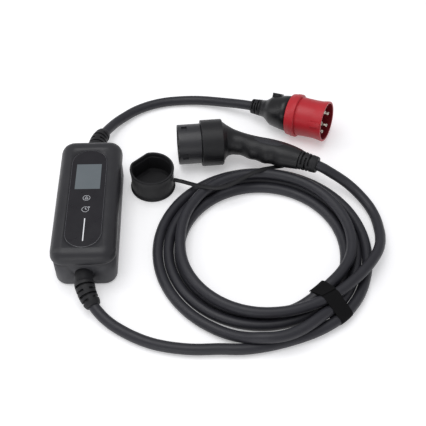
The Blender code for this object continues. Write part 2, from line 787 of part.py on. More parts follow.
def build_coil():
    coil = turned("cable_coil", coil_profile(), CABLE_RUBBER, None, COIL_STEPS)
    coil.location = (*COIL_CENTRE, 0.0)


def build_tie():
    """The tie is a band of constant width round the bundle, standing across the turns."""
    lane = CABLE_DIAMETER
    half = COIL_LANES * lane / 2 + 2 * GAP
    middle = COIL_INNER_RADIUS + COIL_LANES * lane / 2
    # A straight band meets the coil's curved inner side first at the band's own edges
    inward = half + TIE_WIDTH**2 / 8 / COIL_INNER_RADIUS
    low = COIL_LIFT - GAP
    flat = COIL_LIFT + lane + GAP
    high = COIL_HEIGHT + GAP
    inner = [
        (half, low + lane * 0.45),
        (half, flat - lane * 0.45),
        (half - lane * 0.12, flat - lane * 0.08),
        (half - lane * 0.46, flat + GAP),
        (-inward + lane * 1.14, high - lane * 0.20),
        (-inward + lane * 0.60, high + GAP),
        (-inward, high - lane * 0.40),
        (-inward, low + lane * 0.30),
        (-inward + lane * 0.35, low),
        (half - lane * 0.48, low),
        (half - lane * 0.13, low + lane * 0.10),
    ]
    bm = bmesh.new()
    loops = []
    for reach, side in ((0.0, 0), (TIE_THICKNESS, 0), (TIE_THICKNESS, 1), (0.0, 1)):
        loop = []
        for k, (x, z) in enumerate(inner):
            before = Vector(inner[k - 1])
            after = Vector(inner[(k + 1) % len(inner)])
            run = (after - before).normalized()
            out = Vector((run.y, -run.x))
            place = Vector((x, z)) + out * reach
            loop.append(bm.verts.new((place.x, (side - 0.5) * TIE_WIDTH, place.y)))
        loops.append(loop)
    for first, second in zip(loops, loops[1:] + loops[:1]):
        for k in range(len(inner)):
            after = (k + 1) % len(inner)
            bm.faces.new((first[k], first[after], second[after], second[k]))
    tie = add_object("hook_and_loop_tie", mesh_from(bm, "hook_and_loop_tie"), FABRIC_BLACK)
    tie.location = (
        COIL_CENTRE[0] + middle * math.cos(TIE_ANGLE),
        COIL_CENTRE[1] + middle * math.sin(TIE_ANGLE),
        0.0,
    )
    tie.rotation_euler = (0, 0, TIE_ANGLE)


# Industrial plug


def plug_turn():
    return pointing(PLUG_HEADING, PLUG_RISE, 0.0)


def plug_place(local):
    return Vector(PLUG_RIM) + plug_turn() @ Vector(local)


def build_plug():
    axis = empty("plug_axis", PLUG_RIM, pointing(PLUG_HEADING, PLUG_RISE, PLUG_ROLL))
    inner = PLUG_SHROUD_RADIUS - PLUG_SHROUD_WALL
    shroud_profile = [
        (PLUG_SHROUD_RADIUS - 0.0008, 0.0),
        (PLUG_SHROUD_RADIUS, -0.0008),
        (PLUG_SHROUD_WAIST, -PLUG_FLANGE_FRONT + 0.006),
        (PLUG_SHROUD_WAIST + 0.0006, -PLUG_FLANGE_FRONT),
        (PLUG_FLANGE_RADIUS - 0.0012, -PLUG_FLANGE_FRONT),
        (PLUG_FLANGE_RADIUS, -PLUG_FLANGE_FRONT - 0.0012),
        (PLUG_FLANGE_RADIUS, -PLUG_FLANGE_FRONT - 0.0070),
        (PLUG_FLANGE_RADIUS - 0.0016, -PLUG_FLANGE_BACK + 0.0040),
        (PLUG_FLANGE_RADIUS - 0.0016, -PLUG_FLANGE_BACK),
        (inner - 0.0005, -PLUG_FLANGE_BACK),
        (inner - 0.0005, -PLUG_FLANGE_FRONT),
        (inner, -0.0006),
    ]
    shroud = turned("plug_shroud", shroud_profile, SIGNAL_RED, axis, 36)
    key_low = PLUG_SHROUD_WAIST - PLUG_SHROUD_WALL / 2
    key_high = PLUG_SHROUD_RADIUS + PLUG_KEY_HEIGHT
    key_length = PLUG_FLANGE_FRONT - PLUG_KEY_SET_BACK + 0.001
    key = block(
        "plug_key",
        (PLUG_KEY_WIDTH, key_high - key_low, key_length),
        (0, (key_high + key_low) / 2, -PLUG_KEY_SET_BACK - key_length / 2),
        None,
        axis,
    )
    cut(shroud, key, operation="UNION")
    depth = PLUG_SHROUD_DEPTH
    carrier = turned(
        "plug_pin_carrier",
        [
            (0.0, -depth),
            (inner - 0.0005 - GAP, -depth),
            (inner - 0.0005 - GAP, -depth - PLUG_CARRIER_THICKNESS),
            (0.0, -depth - PLUG_CARRIER_THICKNESS),
        ],
        DARK_RED,
        axis,
        36,
    )
    for k, name in enumerate(("earth", "line_1", "line_2", "line_3", "neutral")):
        radius = PLUG_EARTH_PIN_RADIUS if name == "earth" else PLUG_PIN_RADIUS
        angle = math.pi / 2 + 2 * math.pi * k / 5
        place = (PLUG_PIN_CIRCLE * math.cos(angle), PLUG_PIN_CIRCLE * math.sin(angle), 0.0)
        tail = -depth - PLUG_CARRIER_THICKNESS * 0.6
        seat_length = 2 * PLUG_CARRIER_THICKNESS * 0.6 + 2 * GAP
        socket = cylinder(
            f"{name}_pin_seat", radius + GAP, seat_length, (*place[:2], -depth), None, axis
        )
        cut(carrier, socket)
        pin = turned(
            f"plug_pin_{name}",
            [
                (0.0, -PLUG_PIN_SET_BACK),
                (radius * 0.55, -PLUG_PIN_SET_BACK),
                (radius, -PLUG_PIN_SET_BACK - 0.0022),
                (radius, tail),
                (0.0, tail),
            ],
            NICKEL,
            axis,
            SMALL_STEPS,
        )
        pin.location = place
    build_plug_body(axis)


def build_plug_body(axis):
    back = -PLUG_FLANGE_BACK - GAP
    end = back - PLUG_BODY_LENGTH
    boot_start = -PLUG_LENGTH + PLUG_BOOT_LENGTH
    inner = PLUG_SHROUD_RADIUS - PLUG_SHROUD_WALL - 0.0005 - GAP
    profile = [
        (0.0, -PLUG_SHROUD_DEPTH - PLUG_CARRIER_THICKNESS - GAP),
        (inner, -PLUG_SHROUD_DEPTH - PLUG_CARRIER_THICKNESS - GAP),
        (inner, back),
        (PLUG_BODY_RADIUS, back),
        (PLUG_BODY_RADIUS - 0.0012, back - 0.010),
        (PLUG_BODY_RADIUS - 0.0045, end + 0.004),
        (PLUG_BODY_RADIUS - 0.0068, end),
        (PLUG_NECK_RADIUS + 0.0045, end - 0.0035),
        (PLUG_NECK_RADIUS + 0.0010, end - 0.0085),
        (PLUG_NECK_RADIUS, boot_start + GAP),
        (0.0, boot_start + GAP),
    ]
    body = turned("plug_body", profile, BLACK_SATIN, axis, ROUND_STEPS)
    # The lug that a cover's catch or a pulling hand holds, on the housing's upper side
    lug_place = Vector((PLUG_LUG_RADIUS, 0.0, end + PLUG_LUG[2] / 2))
    lug_place.rotate(Matrix.Rotation(PLUG_LUG_ANGLE, 3, "Z"))
    lug = block("plug_lug", PLUG_LUG, lug_place, None, axis)
    lug.rotation_euler.z = PLUG_LUG_ANGLE
    cut(body, lug, operation="UNION")
    radii = [(0.0, PLUG_NECK_RADIUS - 0.0004), (0.1, PLUG_NECK_RADIUS), (1.0, PLUG_NECK_RADIUS - 0.0016)]
    route = [(0.0, 0.0, boot_start), (0.0, 0.0, (boot_start - PLUG_LENGTH) / 2), (0.0, 0.0, -PLUG_LENGTH)]
    world = [plug_place(p) for p in route]
    boot("plug_boot", world, radii, (0.28, 0.52, 0.76), BLACK_RUBBER)


# Vehicle connector


def connector_turn():
    return pointing(NOSE_HEADING, NOSE_RISE, NOSE_ROLL)


def connector_place(local):
    return Vector(NOSE_FACE) + connector_turn() @ Vector(local)


def build_connector():
    axis = empty("connector_axis", NOSE_FACE, connector_turn())
    outline = keyed_outline(NOSE_RADIUS, NOSE_FLAT)
    nose = prism("connector_nose", outline, -NOSE_LENGTH, 0.0, BLACK_SATIN, axis)
    wall = NOSE_WALL
    hollow = prism(
        "nose_hollow", keyed_outline(NOSE_RADIUS - wall, NOSE_FLAT - wall), -NOSE_DEPTH, 0.01, None, axis
    )
    cut(nose, hollow)
    for k, angle in enumerate((math.pi, 0.0, math.pi / 2)):
        at_wall = (NOSE_RADIUS * math.cos(angle), NOSE_RADIUS * math.sin(angle), -NOSE_SLOT_FROM_FACE)
        slot = block(f"nose_slot_{k}", (3 * NOSE_WALL, *NOSE_SLOT), at_wall, None, axis)
        slot.rotation_euler = (0, 0, angle)
        cut(nose, slot)
    front = -NOSE_LENGTH - GAP
    back = front - COLLAR_LENGTH
    rings = []
    for z, inset in (
        (back, COLLAR_EDGE),
        (back + COLLAR_EDGE, 0.0),
        (front - COLLAR_EDGE / 2, 0.0),
        (front, COLLAR_EDGE / 2),
    ):
        rings.append([(x, y, z) for x, y in keyed_outline(COLLAR_RADIUS - inset, COLLAR_FLAT - inset)])
    loft("connector_collar", rings, BLACK_SATIN, axis)
    build_contacts(axis)
    build_handle(axis, back - GAP)


def build_contacts(axis):
    base_top = -NOSE_DEPTH + GAP + CARRIER_THICKNESS
    reach = NOSE_RADIUS - NOSE_WALL - GAP
    prism(
        "contact_carrier",
        keyed_outline(reach, NOSE_FLAT - NOSE_WALL - GAP, 24),
        -NOSE_DEPTH + GAP,
        base_top,
        BLACK_SATIN,
        axis,
    )
    low = base_top + GAP
    for name, (x, y) in CONTACTS.items():
        signal = name in ("pilot", "proximity")
        radius = SIGNAL_TOWER_RADIUS if signal else POWER_TOWER_RADIUS
        bore = SIGNAL_TOWER_BORE if signal else POWER_TOWER_BORE
        tube = [(radius, -TOWER_SET_BACK), (radius, low), (bore, low), (bore, -TOWER_SET_BACK)]
        tower = turned(f"contact_tower_{name}", tube, BLACK_SATIN, axis, SMALL_STEPS)
        outer = bore - GAP
        metal = [
            (outer, -CONTACT_SET_BACK),
            (outer, low + GAP),
            (outer - CONTACT_WALL, low + GAP),
            (outer - CONTACT_WALL, -CONTACT_SET_BACK),
        ]
        sleeve = turned(f"contact_{name}", metal, BRASS, axis, SMALL_STEPS)
        tower.location = (-x, -y, 0.0)
        sleeve.location = (-x, -y, 0.0)


def handle_rings(swell, front):
    """Rounded sections along the handle's bend, in the connector's own axes."""
    spine = [Vector((0.0, bend, -back)) for back, bend, _, _ in HANDLE_SECTIONS]
    spine[0] = Vector((0.0, spine[0].y, front))
    rings = []
    for k, (_, _, in_plane, across) in enumerate(HANDLE_SECTIONS):
        forward = (spine[min(k + 1, len(spine) - 1)] - spine[max(k - 1, 0)]).normalized()
        if k == 0:
            forward = Vector((0, 0, -1))
        side = Vector((1, 0, 0)).cross(forward).normalized()
        ring = []
        for step in range(HANDLE_POINTS):
            angle = 2 * math.pi * step / HANDLE_POINTS
            squarer = 1.0 + 0.06 * math.sin(2 * angle) ** 2
            ring.append(
                spine[k]
                + side * ((in_plane + swell) * squarer * math.cos(angle))
                + Vector((1, 0, 0)) * ((across + swell) * squarer * math.sin(angle))
            )
        rings.append(ring)
    return rings


def grip_outline(margin):
    points = []
    for step in range(20):
        angle = 2 * math.pi * step / 20
        across = (GRIP_WIDTH / 2 + margin) * math.cos(angle)
        lengthways = (GRIP_LENGTH / 2 + margin) * math.sin(angle)
        points.append((across, lengthways))
    return points


def build_handle(axis, front):
    handle = loft("connector_handle", handle_rings(0.0, front), BLACK_SATIN, axis)
    depth = HANDLE_SECTIONS[7][3] - GRIP_SINK
    # An oval inlay sits in each flank of the handle and follows its curve
    along_handle = Vector((0.0, math.sin(GRIP_TURN), -math.cos(GRIP_TURN)))
    for side, name in ((-1, "grip_inlay_upper"), (1, "grip_inlay_lower")):
        outward = Vector((side, 0.0, 0.0))
        facing = Matrix((along_handle.cross(outward), along_handle, outward)).transposed().to_4x4()
        place = Matrix.Translation((0.0, GRIP_AT[1], -GRIP_AT[0])) @ facing
        recess = prism(f"{name}_recess", grip_outline(GAP), depth - GAP, 0.03, None, axis)
        recess.matrix_local = place
        cut(handle, recess)
        inlay = loft(name, handle_rings(GRIP_PROUD, front), BLACK_RUBBER, axis)
        keep = prism(f"{name}_outline", grip_outline(0.0), depth, 0.03, None, axis)
        keep.matrix_local = place
        cut(inlay, keep, operation="INTERSECT")
    radii = [
        (0.0, HANDLE_BOOT_RADIUS),
        (0.92, HANDLE_BOOT_END_RADIUS),
        (1.0, HANDLE_BOOT_END_RADIUS - 0.0012),
    ]
    route = [connector_place((0.0, *reversed_pair(pair))) for pair in HANDLE_BOOT_ROUTE]
    boot("connector_boot", route, radii, (0.20, 0.42, 0.64), BLACK_RUBBER)


# Rubber cap and its tether


def build_cap():
    rings = []
    for z, inset in (
        (GAP, 0.0),
        (0.0022, -CAP_FOOT),
        (0.0040, 0.0012),
        (0.0300, 0.0006),
        (CAP_HEIGHT - 0.002, 0.0),
        (CAP_HEIGHT, 0.0004),
    ):
        rings.append([(x, y, z) for x, y in keyed_outline(CAP_RADIUS - inset, CAP_FLAT - inset, 28)])
    cap = loft("connector_cap", rings, BLACK_RUBBER)
    wall = CAP_WALL
    hollow = prism("cap_hollow", keyed_outline(CAP_RADIUS - wall, CAP_FLAT - wall, 28), CAP_FLOOR, 0.06)
    for obj in (cap, hollow):
        obj.location = (*CAP_CENTRE, 0.0)
        obj.rotation_euler = (0, 0, CAP_TURN + math.pi / 2)
    cut(cap, hollow)


def build_tether():
    route = smooth_route(vectors(TETHER_ROUTE), 0.011)
    rings = []
    for point, _, side, up in frames_along(route):
        w = side * (TETHER_WIDTH / 2)
        t = up * (TETHER_THICKNESS / 2)
        edge = side * (TETHER_THICKNESS * 0.3)
        upper = [point + w, point + w - edge + t, point - w + edge + t]
        lower = [point - w, point - w + edge - t, point + w - edge - t]
        rings.append(upper + lower)
    loft("cap_tether", rings, BLACK_RUBBER)


def main():
    clear_scene()
    build_lower_shell()
    build_seal()
    build_upper_shell()
    build_fascia()
    build_electronics()
    build_case_screws()
    build_box_boots()
    build_cords()
    build_coil()
    build_tie()
    build_plug()
    build_connector()
    build_cap()
    build_tether()


main()
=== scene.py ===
import math

import bmesh
import bpy
from mathutils import Matrix, Vector


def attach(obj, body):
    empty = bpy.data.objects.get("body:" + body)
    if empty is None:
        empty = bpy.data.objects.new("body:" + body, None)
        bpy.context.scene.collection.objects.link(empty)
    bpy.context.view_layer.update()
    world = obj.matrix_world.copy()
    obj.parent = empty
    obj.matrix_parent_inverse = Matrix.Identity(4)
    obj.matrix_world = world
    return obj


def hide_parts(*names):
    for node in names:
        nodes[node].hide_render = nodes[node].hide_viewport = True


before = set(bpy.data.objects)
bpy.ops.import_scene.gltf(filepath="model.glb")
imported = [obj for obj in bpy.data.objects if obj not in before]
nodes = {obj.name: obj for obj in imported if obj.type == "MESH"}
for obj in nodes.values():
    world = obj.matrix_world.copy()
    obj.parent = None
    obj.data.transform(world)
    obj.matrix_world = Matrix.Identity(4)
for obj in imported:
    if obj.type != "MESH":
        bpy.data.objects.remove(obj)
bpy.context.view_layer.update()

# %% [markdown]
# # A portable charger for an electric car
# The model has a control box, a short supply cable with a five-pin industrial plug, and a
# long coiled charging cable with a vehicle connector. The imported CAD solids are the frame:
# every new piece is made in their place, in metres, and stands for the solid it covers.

# %% [markdown]
# ## Camera
# The charger was pictured from above its near end, about 50 degrees down. A lens of 70 mm
# at 1.1 m gives the same convergence of the box's long sides.

# %% Camera
LENS_MM = 69.8
eye = Vector((0.1451, -0.7015, 0.8549))
aim = Vector((0.1620, 0.0157, 0.0))
camera_data = bpy.data.cameras.new("camera")
camera_data.lens = LENS_MM
camera = bpy.data.objects.new("camera", camera_data)
camera.location = eye
camera.rotation_euler = (aim - eye).to_track_quat("-Z", "Y").to_euler()
bpy.context.scene.collection.objects.link(camera)
bpy.context.scene.camera = camera
print("camera is", round((aim - eye).length, 3), "m away")

# %% [markdown]
# ## How a finish is made
# Colours are written as the sRGB values that a picture shows, and one function turns them
# to the linear values that a shader takes. Another adds any node with its settings, its
# values and its links, so that each finish reads as a short list.


# %% Colour and node helpers
def linear(hex_code):
    """An sRGB hex colour as a shader's linear colour."""
    found = []
    for k in (1, 3, 5):
        value = int(hex_code[k : k + 2], 16) / 255
        found.append(value / 12.92 if value <= 0.04045 else ((value + 0.055) / 1.055) ** 2.4)
    return (*found, 1.0)


def add_node(finish, kind, values=None, links=None, **settings):
    """Adds a node with its settings, its sockets' values and the links into it."""
    node = finish.node_tree.nodes.new(kind)
    for name, value in settings.items():
        setattr(node, name, value)
    for socket, value in (values or {}).items():
        node.inputs[socket].default_value = value
    for socket, source in (links or {}).items():
        finish.node_tree.links.new(source, node.inputs[socket])
    return node


def new_finish(name, values):
    """A finish with one shader, and the object's own coordinates to lay patterns by."""
    finish = bpy.data.materials.new(name)
    finish.use_nodes = True
    finish.node_tree.nodes.clear()
    shader = add_node(finish, "ShaderNodeBsdfPrincipled", values)
    add_node(finish, "ShaderNodeOutputMaterial", links={"Surface": shader.outputs[0]})
    place = add_node(finish, "ShaderNodeTexCoord").outputs["Object"]
    return finish, shader, place


def link(finish, source, node, socket):
    """Links an output to a node that is already there."""
    finish.node_tree.links.new(source, node.inputs[socket])


print("black at #202022 is", [round(v, 4) for v in linear("#202022")])

# %% [markdown]
# ## Moulded finishes
# Most of the charger is injection moulded plastic. Its mould was spark eroded, which leaves
# a fine even grain, and the colour drifts very slightly over a few millimetres. The grain
# is a noise that bumps the surface, and a slower noise mixes two close colours and moves
# the roughness with them.


# %% A moulded finish
def moulded(name, dark, light, roughness, grain_mm, relief_mm, specular=0.35, drift_mm=14.0):
    """Plastic or rubber of two close colours, with a grain of this size and relief."""
    values = {"Roughness": roughness, "Specular IOR Level": specular}
    finish, shader, place = new_finish(name, values)
    drift = add_node(
        finish,
        "ShaderNodeTexNoise",
        {"Scale": 1000 / drift_mm, "Detail": 3.0, "Roughness": 0.55},
        {"Vector": place},
    )
    colour = add_node(
        finish,
        "ShaderNodeMix",
        {6: linear(dark), 7: linear(light)},
        {0: drift.outputs["Fac"]},
        data_type="RGBA",
    )
    link(finish, colour.outputs[2], shader, "Base Color")
    sheen = add_node(
        finish,
        "ShaderNodeMapRange",
        {"From Min": 0.3, "From Max": 0.7, "To Min": roughness - 0.04, "To Max": roughness + 0.05},
        {"Value": drift.outputs["Fac"]},
    )
    link(finish, sheen.outputs[0], shader, "Roughness")
    grain = add_node(
        finish,
        "ShaderNodeTexNoise",
        {"Scale": 1000 / grain_mm, "Detail": 2.0},
        {"Vector": place},
    )
    relief = add_node(
        finish,
        "ShaderNodeBump",
        {"Strength": 0.6, "Distance": relief_mm / 1000},
        {"Height": grain.outputs["Fac"]},
    )
    link(finish, relief.outputs[0], shader, "Normal")
    return finish


# ABS and polycarbonate blend of the case, with a fine spark-eroded grain
case_black = moulded("moulded_abs_case", "#28282b", "#2e2e31", 0.40, 0.7, 0.03)
# The same plastic moulded against a coarser tool, so it is rougher; its lighter grey is painted
# light, for what the tub's near faces catch from the floor and the front
tub_grey_painted_light = moulded("moulded_abs_tub_painted_light", "#3a3a3d", "#424245", 0.50, 0.8, 0.04, 0.4)
# Glass-filled nylon of the connector: satin, with a slightly deeper grain
nylon_black = moulded("moulded_nylon", "#161618", "#1d1d1f", 0.42, 0.6, 0.03)
# The nose is drawn over a polished core, so it is smoother and mirrors more light than the grained
# handle; its lighter colour is a painted highlight on top of that
nose_painted_highlight = moulded("moulded_nylon_nose_painted_highlight", "#252528", "#2c2c2f", 0.36, 0.6, 0.02, 0.5)
# The plug's body has a smoother, darker skin
body_black = moulded("moulded_nylon_body", "#111113", "#18181a", 0.34, 0.8, 0.02, 0.4)
# Thermoplastic rubber of the boots and the cap: matt, soft to the touch
rubber_black = moulded("moulded_rubber", "#1b1b1d", "#222224", 0.56, 0.5, 0.03, 0.3)
# The fascia is a smooth hard-coated sheet, so its reflections are sharper than the case's
fascia_black = moulded("hard_coated_sheet", "#1e1d21", "#232226", 0.30, 2.5, 0.004, 0.25)
# The sheet's bevelled rim gets a lighter grey, a painted highlight that draws a thin line of light
# round it
rim_painted_highlight = moulded("sheet_rim_painted_highlight", "#56565a", "#5f5f63", 0.30, 0.8, 0.01, 0.5)
# Polycarbonate of the shroud, coloured through, with a low gloss
signal_red = moulded("moulded_red_polycarbonate", "#b3202b", "#bf2731", 0.38, 0.8, 0.03, 0.4)
# Inside the shroud little light gets in: its inner faces, and deeper still the body that holds the
# pins, get darker reds, which are painted shade
red_painted_shade_inside = moulded("moulded_red_painted_shade_inside", "#6e1019", "#7a141e", 0.50, 0.8, 0.03, 0.2)
red_painted_deep_shade = moulded("moulded_red_painted_deep_shade", "#4e0d13", "#5a1117", 0.50, 0.8, 0.03, 0.3)
print("moulded finishes:", len(bpy.data.materials))

# %% [markdown]
# ## Cable sheath
# The sheath is extruded polyurethane, blue-grey and matt. Extrusion leaves it smooth, and
# coiling it leaves faint scuffs, so a slow noise lightens it here and there.

# %% Cable sheath
cable_sheath = moulded("extruded_polyurethane", "#242429", "#2c2c32", 0.46, 1.2, 0.02, 0.4, 9.0)


# %% [markdown]
# ## Metal, glass and printed finishes
# Pins are brass plated with nickel and turned on a lathe. The display is a smoked window
# over a pale panel, and the light bar is opal acrylic, lit from behind.


# %% Metal finishes
TURNING_MARK_MM = 0.4


def turned_metal(name, colour, roughness, tint):
    """Metal whose fine turning marks change its roughness a little."""
    finish, shader, place = new_finish(name, {"Metallic": 1.0, "Roughness": roughness})
    scale = 1000 / TURNING_MARK_MM
    marks = add_node(
        finish, "ShaderNodeTexNoise", {"Scale": scale, "Detail": 2.0}, {"Vector": place}
    )
    shade = add_node(
        finish,
        "ShaderNodeMix",
        {6: linear(colour), 7: linear(tint)},
        {0: marks.outputs["Fac"]},
        data_type="RGBA",
    )
    link(finish, shade.outputs[2], shader, "Base Color")
    rough = add_node(
        finish,
        "ShaderNodeMapRange",
        {"To Min": roughness - 0.06, "To Max": roughness + 0.08},
        {"Value": marks.outputs["Fac"]},
    )
    link(finish, rough.outputs[0], shader, "Roughness")
    return finish


# Nickel is a warm, bright grey, silver a softer one, and zinc on steel is duller and blue
nickel = turned_metal("nickel_plated_brass", "#d8d3c6", 0.24, "#c9c4b8")
silvered = turned_metal("silver_plated_copper", "#cfcac0", 0.30, "#b9b2a4")
screw_steel = turned_metal("zinc_plated_steel", "#a9abad", 0.34, "#989a9c")
print("finishes so far:", len(bpy.data.materials))

# %% Window, light bar and inner finishes
# The window's grain is nearly flat and its drift broad, so it looks like one clear pane
window_glass = moulded("smoked_window", "#62696d", "#6a7175", 0.20, 3.0, 0.003, 0.3, 30.0)
# Opal acrylic scatters light inside itself, so it looks even and almost white
opal_acrylic = moulded("opal_acrylic", "#e6e7ea", "#eeeff1", 0.30, 1.5, 0.004, 0.4)
# Ink lies as a thin matt film
icon_ink = moulded("screen_printed_ink", "#c4c6ca", "#cfd1d5", 0.45, 0.6, 0.004, 0.3)
# Boards, relays and the seal are seen only when the box is opened
board_green = moulded("solder_mask", "#17402c", "#1d4b34", 0.35, 1.2, 0.02, 0.4)
relay_blue = moulded("moulded_relay_case", "#22406f", "#284878", 0.40, 0.8, 0.02)
seal_grey = moulded("silicone_seal", "#55555a", "#5e5e63", 0.65, 0.8, 0.02, 0.3)
print("finishes:", len(bpy.data.materials))

# %% [markdown]
# ## Pieces
# A piece starts as a bmesh. When its shape is done, its doubles are merged, its normals are
# made to point outwards, and it becomes an object at the origin that rides on the body and
# stands for its CAD solids. Edges sharper than an angle stay crisp.


# %% From a bmesh to a piece
MERGE_WITHIN = 0.000002


def make_piece(name, bm, finish, replaced=(), place=None, sharp=35.0):
    """Turns a finished shape, carried to its place, into a piece of the charger."""
    bmesh.ops.remove_doubles(bm, verts=bm.verts, dist=MERGE_WITHIN)
    if place is not None:
        bmesh.ops.transform(bm, matrix=place, verts=bm.verts)
    bmesh.ops.recalc_face_normals(bm, faces=bm.faces)
    mesh = bpy.data.meshes.new(name)
    bm.to_mesh(mesh)
    bm.free()
    mesh.shade_smooth()
    mesh.set_sharp_from_angle(angle=math.radians(sharp))
    mesh.materials.append(finish)
    piece = bpy.data.objects.new(name, mesh)
    bpy.context.scene.collection.objects.link(piece)
    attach(piece, "root")
    if replaced:
        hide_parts(*replaced)
    print(name, len(mesh.polygons), "faces")
    return piece


def smooth_copy(node, finish, sharp):
    """A CAD node's own shape with its loose triangles merged, so that it can shade smoothly."""
    bm = bmesh.new()
    bm.from_mesh(nodes[node].data)
    bmesh.ops.transform(bm, matrix=nodes[node].matrix_world, verts=bm.verts)
    return make_piece(node + "_skin", bm, finish, [node], None, sharp)


# %% [markdown]
# ## Routes
# A cable's route is a list of points that it passes through. A Bezier curve with automatic
# handles goes through them smoothly, and its bevel gives the round sheath.


# %% Smooth curves through points
def catmull(points, per_span=6):
    """Points on a smooth curve through a route's own points."""
    points = [Vector(p) for p in points]
    ends = [2 * points[0] - points[1]] + points + [2 * points[-1] - points[-2]]
    found = []
    for a, b, c, d in zip(ends, ends[1:], ends[2:], ends[3:]):
        for step in range(per_span):
            t = step / per_span
            straight = 2 * b + (c - a) * t
            bent = (2 * a - 5 * b + 4 * c - d) * t**2 + (3 * b - a - 3 * c + d) * t**3
            found.append((straight + bent) / 2)
    return found + [points[-1]]


def length_of(points):
    """The length of the straight steps from point to point."""
    return sum((b - a).length for a, b in zip(points, points[1:]))


def evenly(points, spacing):
    """The same route with its points a spacing apart."""
    fine = catmull(points, 24)
    steps = max(2, round(length_of(fine) / spacing))
    want = length_of(fine) / steps
    found = [fine[0]]
    gone = 0.0
    for a, b in zip(fine, fine[1:]):
        gone += (b - a).length
        if gone >= want * len(found) - 1e-6 and len(found) < steps:
            found.append(b)
    return found + [fine[-1]]


def cable(name, points, diameter, finish):
    """A curve through the points with a round bevel, and the length of its centreline."""
    curve = bpy.data.curves.new(name, "CURVE")
    curve.dimensions = "3D"
    curve.resolution_u = 6
    curve.bevel_depth = diameter / 2
    curve.bevel_resolution = 6
    curve.use_fill_caps = True
    spline = curve.splines.new("BEZIER")
    spline.bezier_points.add(len(points) - 1)
    for spot, point in zip(spline.bezier_points, points):
        spot.co = point
        spot.handle_left_type = "AUTO"
        spot.handle_right_type = "AUTO"
    curve.materials.append(finish)
    piece = bpy.data.objects.new(name, curve)
    bpy.context.scene.collection.objects.link(piece)
    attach(piece, "root")
    print(name, "is", round(length_of(catmull(points)), 3), "m long")
    return piece


# %% [markdown]
# ## The coil
# The charging cable lies in four turns. Three lie on the floor side by side, and the last
# climbs over them near the tie and rests on the inner one. Each line of the table is an
# angle round the coil, a distance from its middle, and a height, both in millimetres. A
# curve that never overshoots its points joins them, so that touching turns stay apart.

# %% Coil table
CABLE = 0.0138
COIL_CENTRE = Vector((0.2241, -0.0528, 0.0))
TURNS = [
    (-112, 158.0, 7.0), (-104, 152.0, 7.0), (-97, 147.5, 7.0), (-90, 142.9, 7.0),
    (-82, 140.2, 7.2), (-72, 138.2, 7.8), (-60, 138.6, 8.6), (-49, 139.4, 9.1),
    (-36, 138.2, 8.6), (-22, 136.0, 7.6), (0, 134.2, 7.0), (45, 134.0, 7.0),
    (90, 134.0, 7.0), (135, 134.6, 7.0), (180, 135.0, 7.0), (215, 134.8, 7.0),
    (240, 135.0, 7.2), (254, 137.5, 10.5), (262, 140.0, 18.3), (270, 141.0, 20.8),
    (279, 139.2, 21.0), (288, 135.0, 21.2), (298, 129.5, 20.0), (306, 126.3, 16.0),
    (312, 125.6, 12.6), (325, 123.8, 9.6), (345, 121.0, 7.6), (360, 120.4, 7.0),
    (405, 120.2, 7.0), (450, 120.2, 7.0), (495, 120.4, 7.0), (540, 121.0, 7.0),
    (585, 119.0, 7.0), (630, 115.2, 7.0), (655, 113.4, 8.0), (671, 112.2, 9.1),
    (690, 109.2, 8.2), (710, 107.0, 7.2), (735, 106.4, 7.0), (765, 106.4, 7.0),
    (810, 106.4, 7.0), (855, 106.4, 7.0), (900, 107.0, 7.0), (945, 104.5, 7.0),
    (990, 101.3, 7.2), (1010, 100.4, 10.0), (1022, 100.2, 14.5), (1031, 101.0, 18.2),
    (1042, 103.2, 21.6), (1056, 107.5, 21.4), (1070, 112.5, 20.0), (1082, 114.6, 19.7),
    (1110, 117.2, 20.0), (1140, 119.8, 20.7), (1170, 120.4, 20.8), (1200, 118.0, 20.7),
    (1225, 112.0, 20.8), (1260, 105.6, 20.8), (1305, 105.8, 20.8), (1350, 106.4, 20.9),
    (1375, 110.0, 22.4), (1391, 115.2, 23.0), (1403, 121.6, 23.0), (1411.5, 126.2, 23.0),
    (1420.5, 133.8, 23.0), (1429.7, 142.3, 20.5), (1436.3, 148.6, 18.0),
]


def slopes(table, column):
    """A slope at each line that never lets a curve overshoot its neighbours."""
    steps = [(b[column] - a[column]) / (b[0] - a[0]) for a, b in zip(table, table[1:])]
    found = [steps[0]]
    for before, after in zip(steps, steps[1:]):
        same_way = before * after > 0
        found.append(2 * before * after / (before + after) if same_way else 0.0)
    return found + [steps[-1]]


def read_curve(table, column, bends, at):
    """The table's value at an angle, on a cubic curve between its two nearest lines."""
    k = max(i for i in range(len(table) - 1) if table[i][0] <= at)
    span = table[k + 1][0] - table[k][0]
    t = (at - table[k][0]) / span
    low, high = table[k][column], table[k + 1][column]
    rest = (2 * t**3 - 3 * t**2 + 1) * low + (3 * t**2 - 2 * t**3) * high
    lean = (t**3 - 2 * t**2 + t) * bends[k] + (t**3 - t**2) * bends[k + 1]
    return rest + lean * span


BENDS = {column: slopes(TURNS, column) for column in (1, 2)}


def coil_at(at):
    """The cable's distance from the coil's middle and its height, at an angle of the table."""
    return tuple(read_curve(TURNS, column, BENDS[column], at) / 1000 for column in (1, 2))


def coil_points(step):
    """The cable's route through the whole table, a point every so many degrees."""
    first, last = TURNS[0][0], TURNS[-1][0]
    count = round((last - first) / step)
    found = []
    for k in range(count + 1):
        at = first + (last - first) * k / count
        reach, height = coil_at(at)
        angle = math.radians(at)
        found.append(
            COIL_CENTRE + Vector((reach * math.cos(angle), reach * math.sin(angle), height))
        )
    return found


COIL_STEP = 9.0
coil = coil_points(COIL_STEP)
print("coil has", len(coil), "points and is", round(length_of(coil), 3), "m long")

# %% [markdown]
# ## The two cables
# The supply cable runs from the far end of the box to the plug. The charging cable leaves
# the near end, runs along the floor into the coil, climbs out over the turns and bends up
# into the connector. Each goes straight out of its boot for a few diameters.

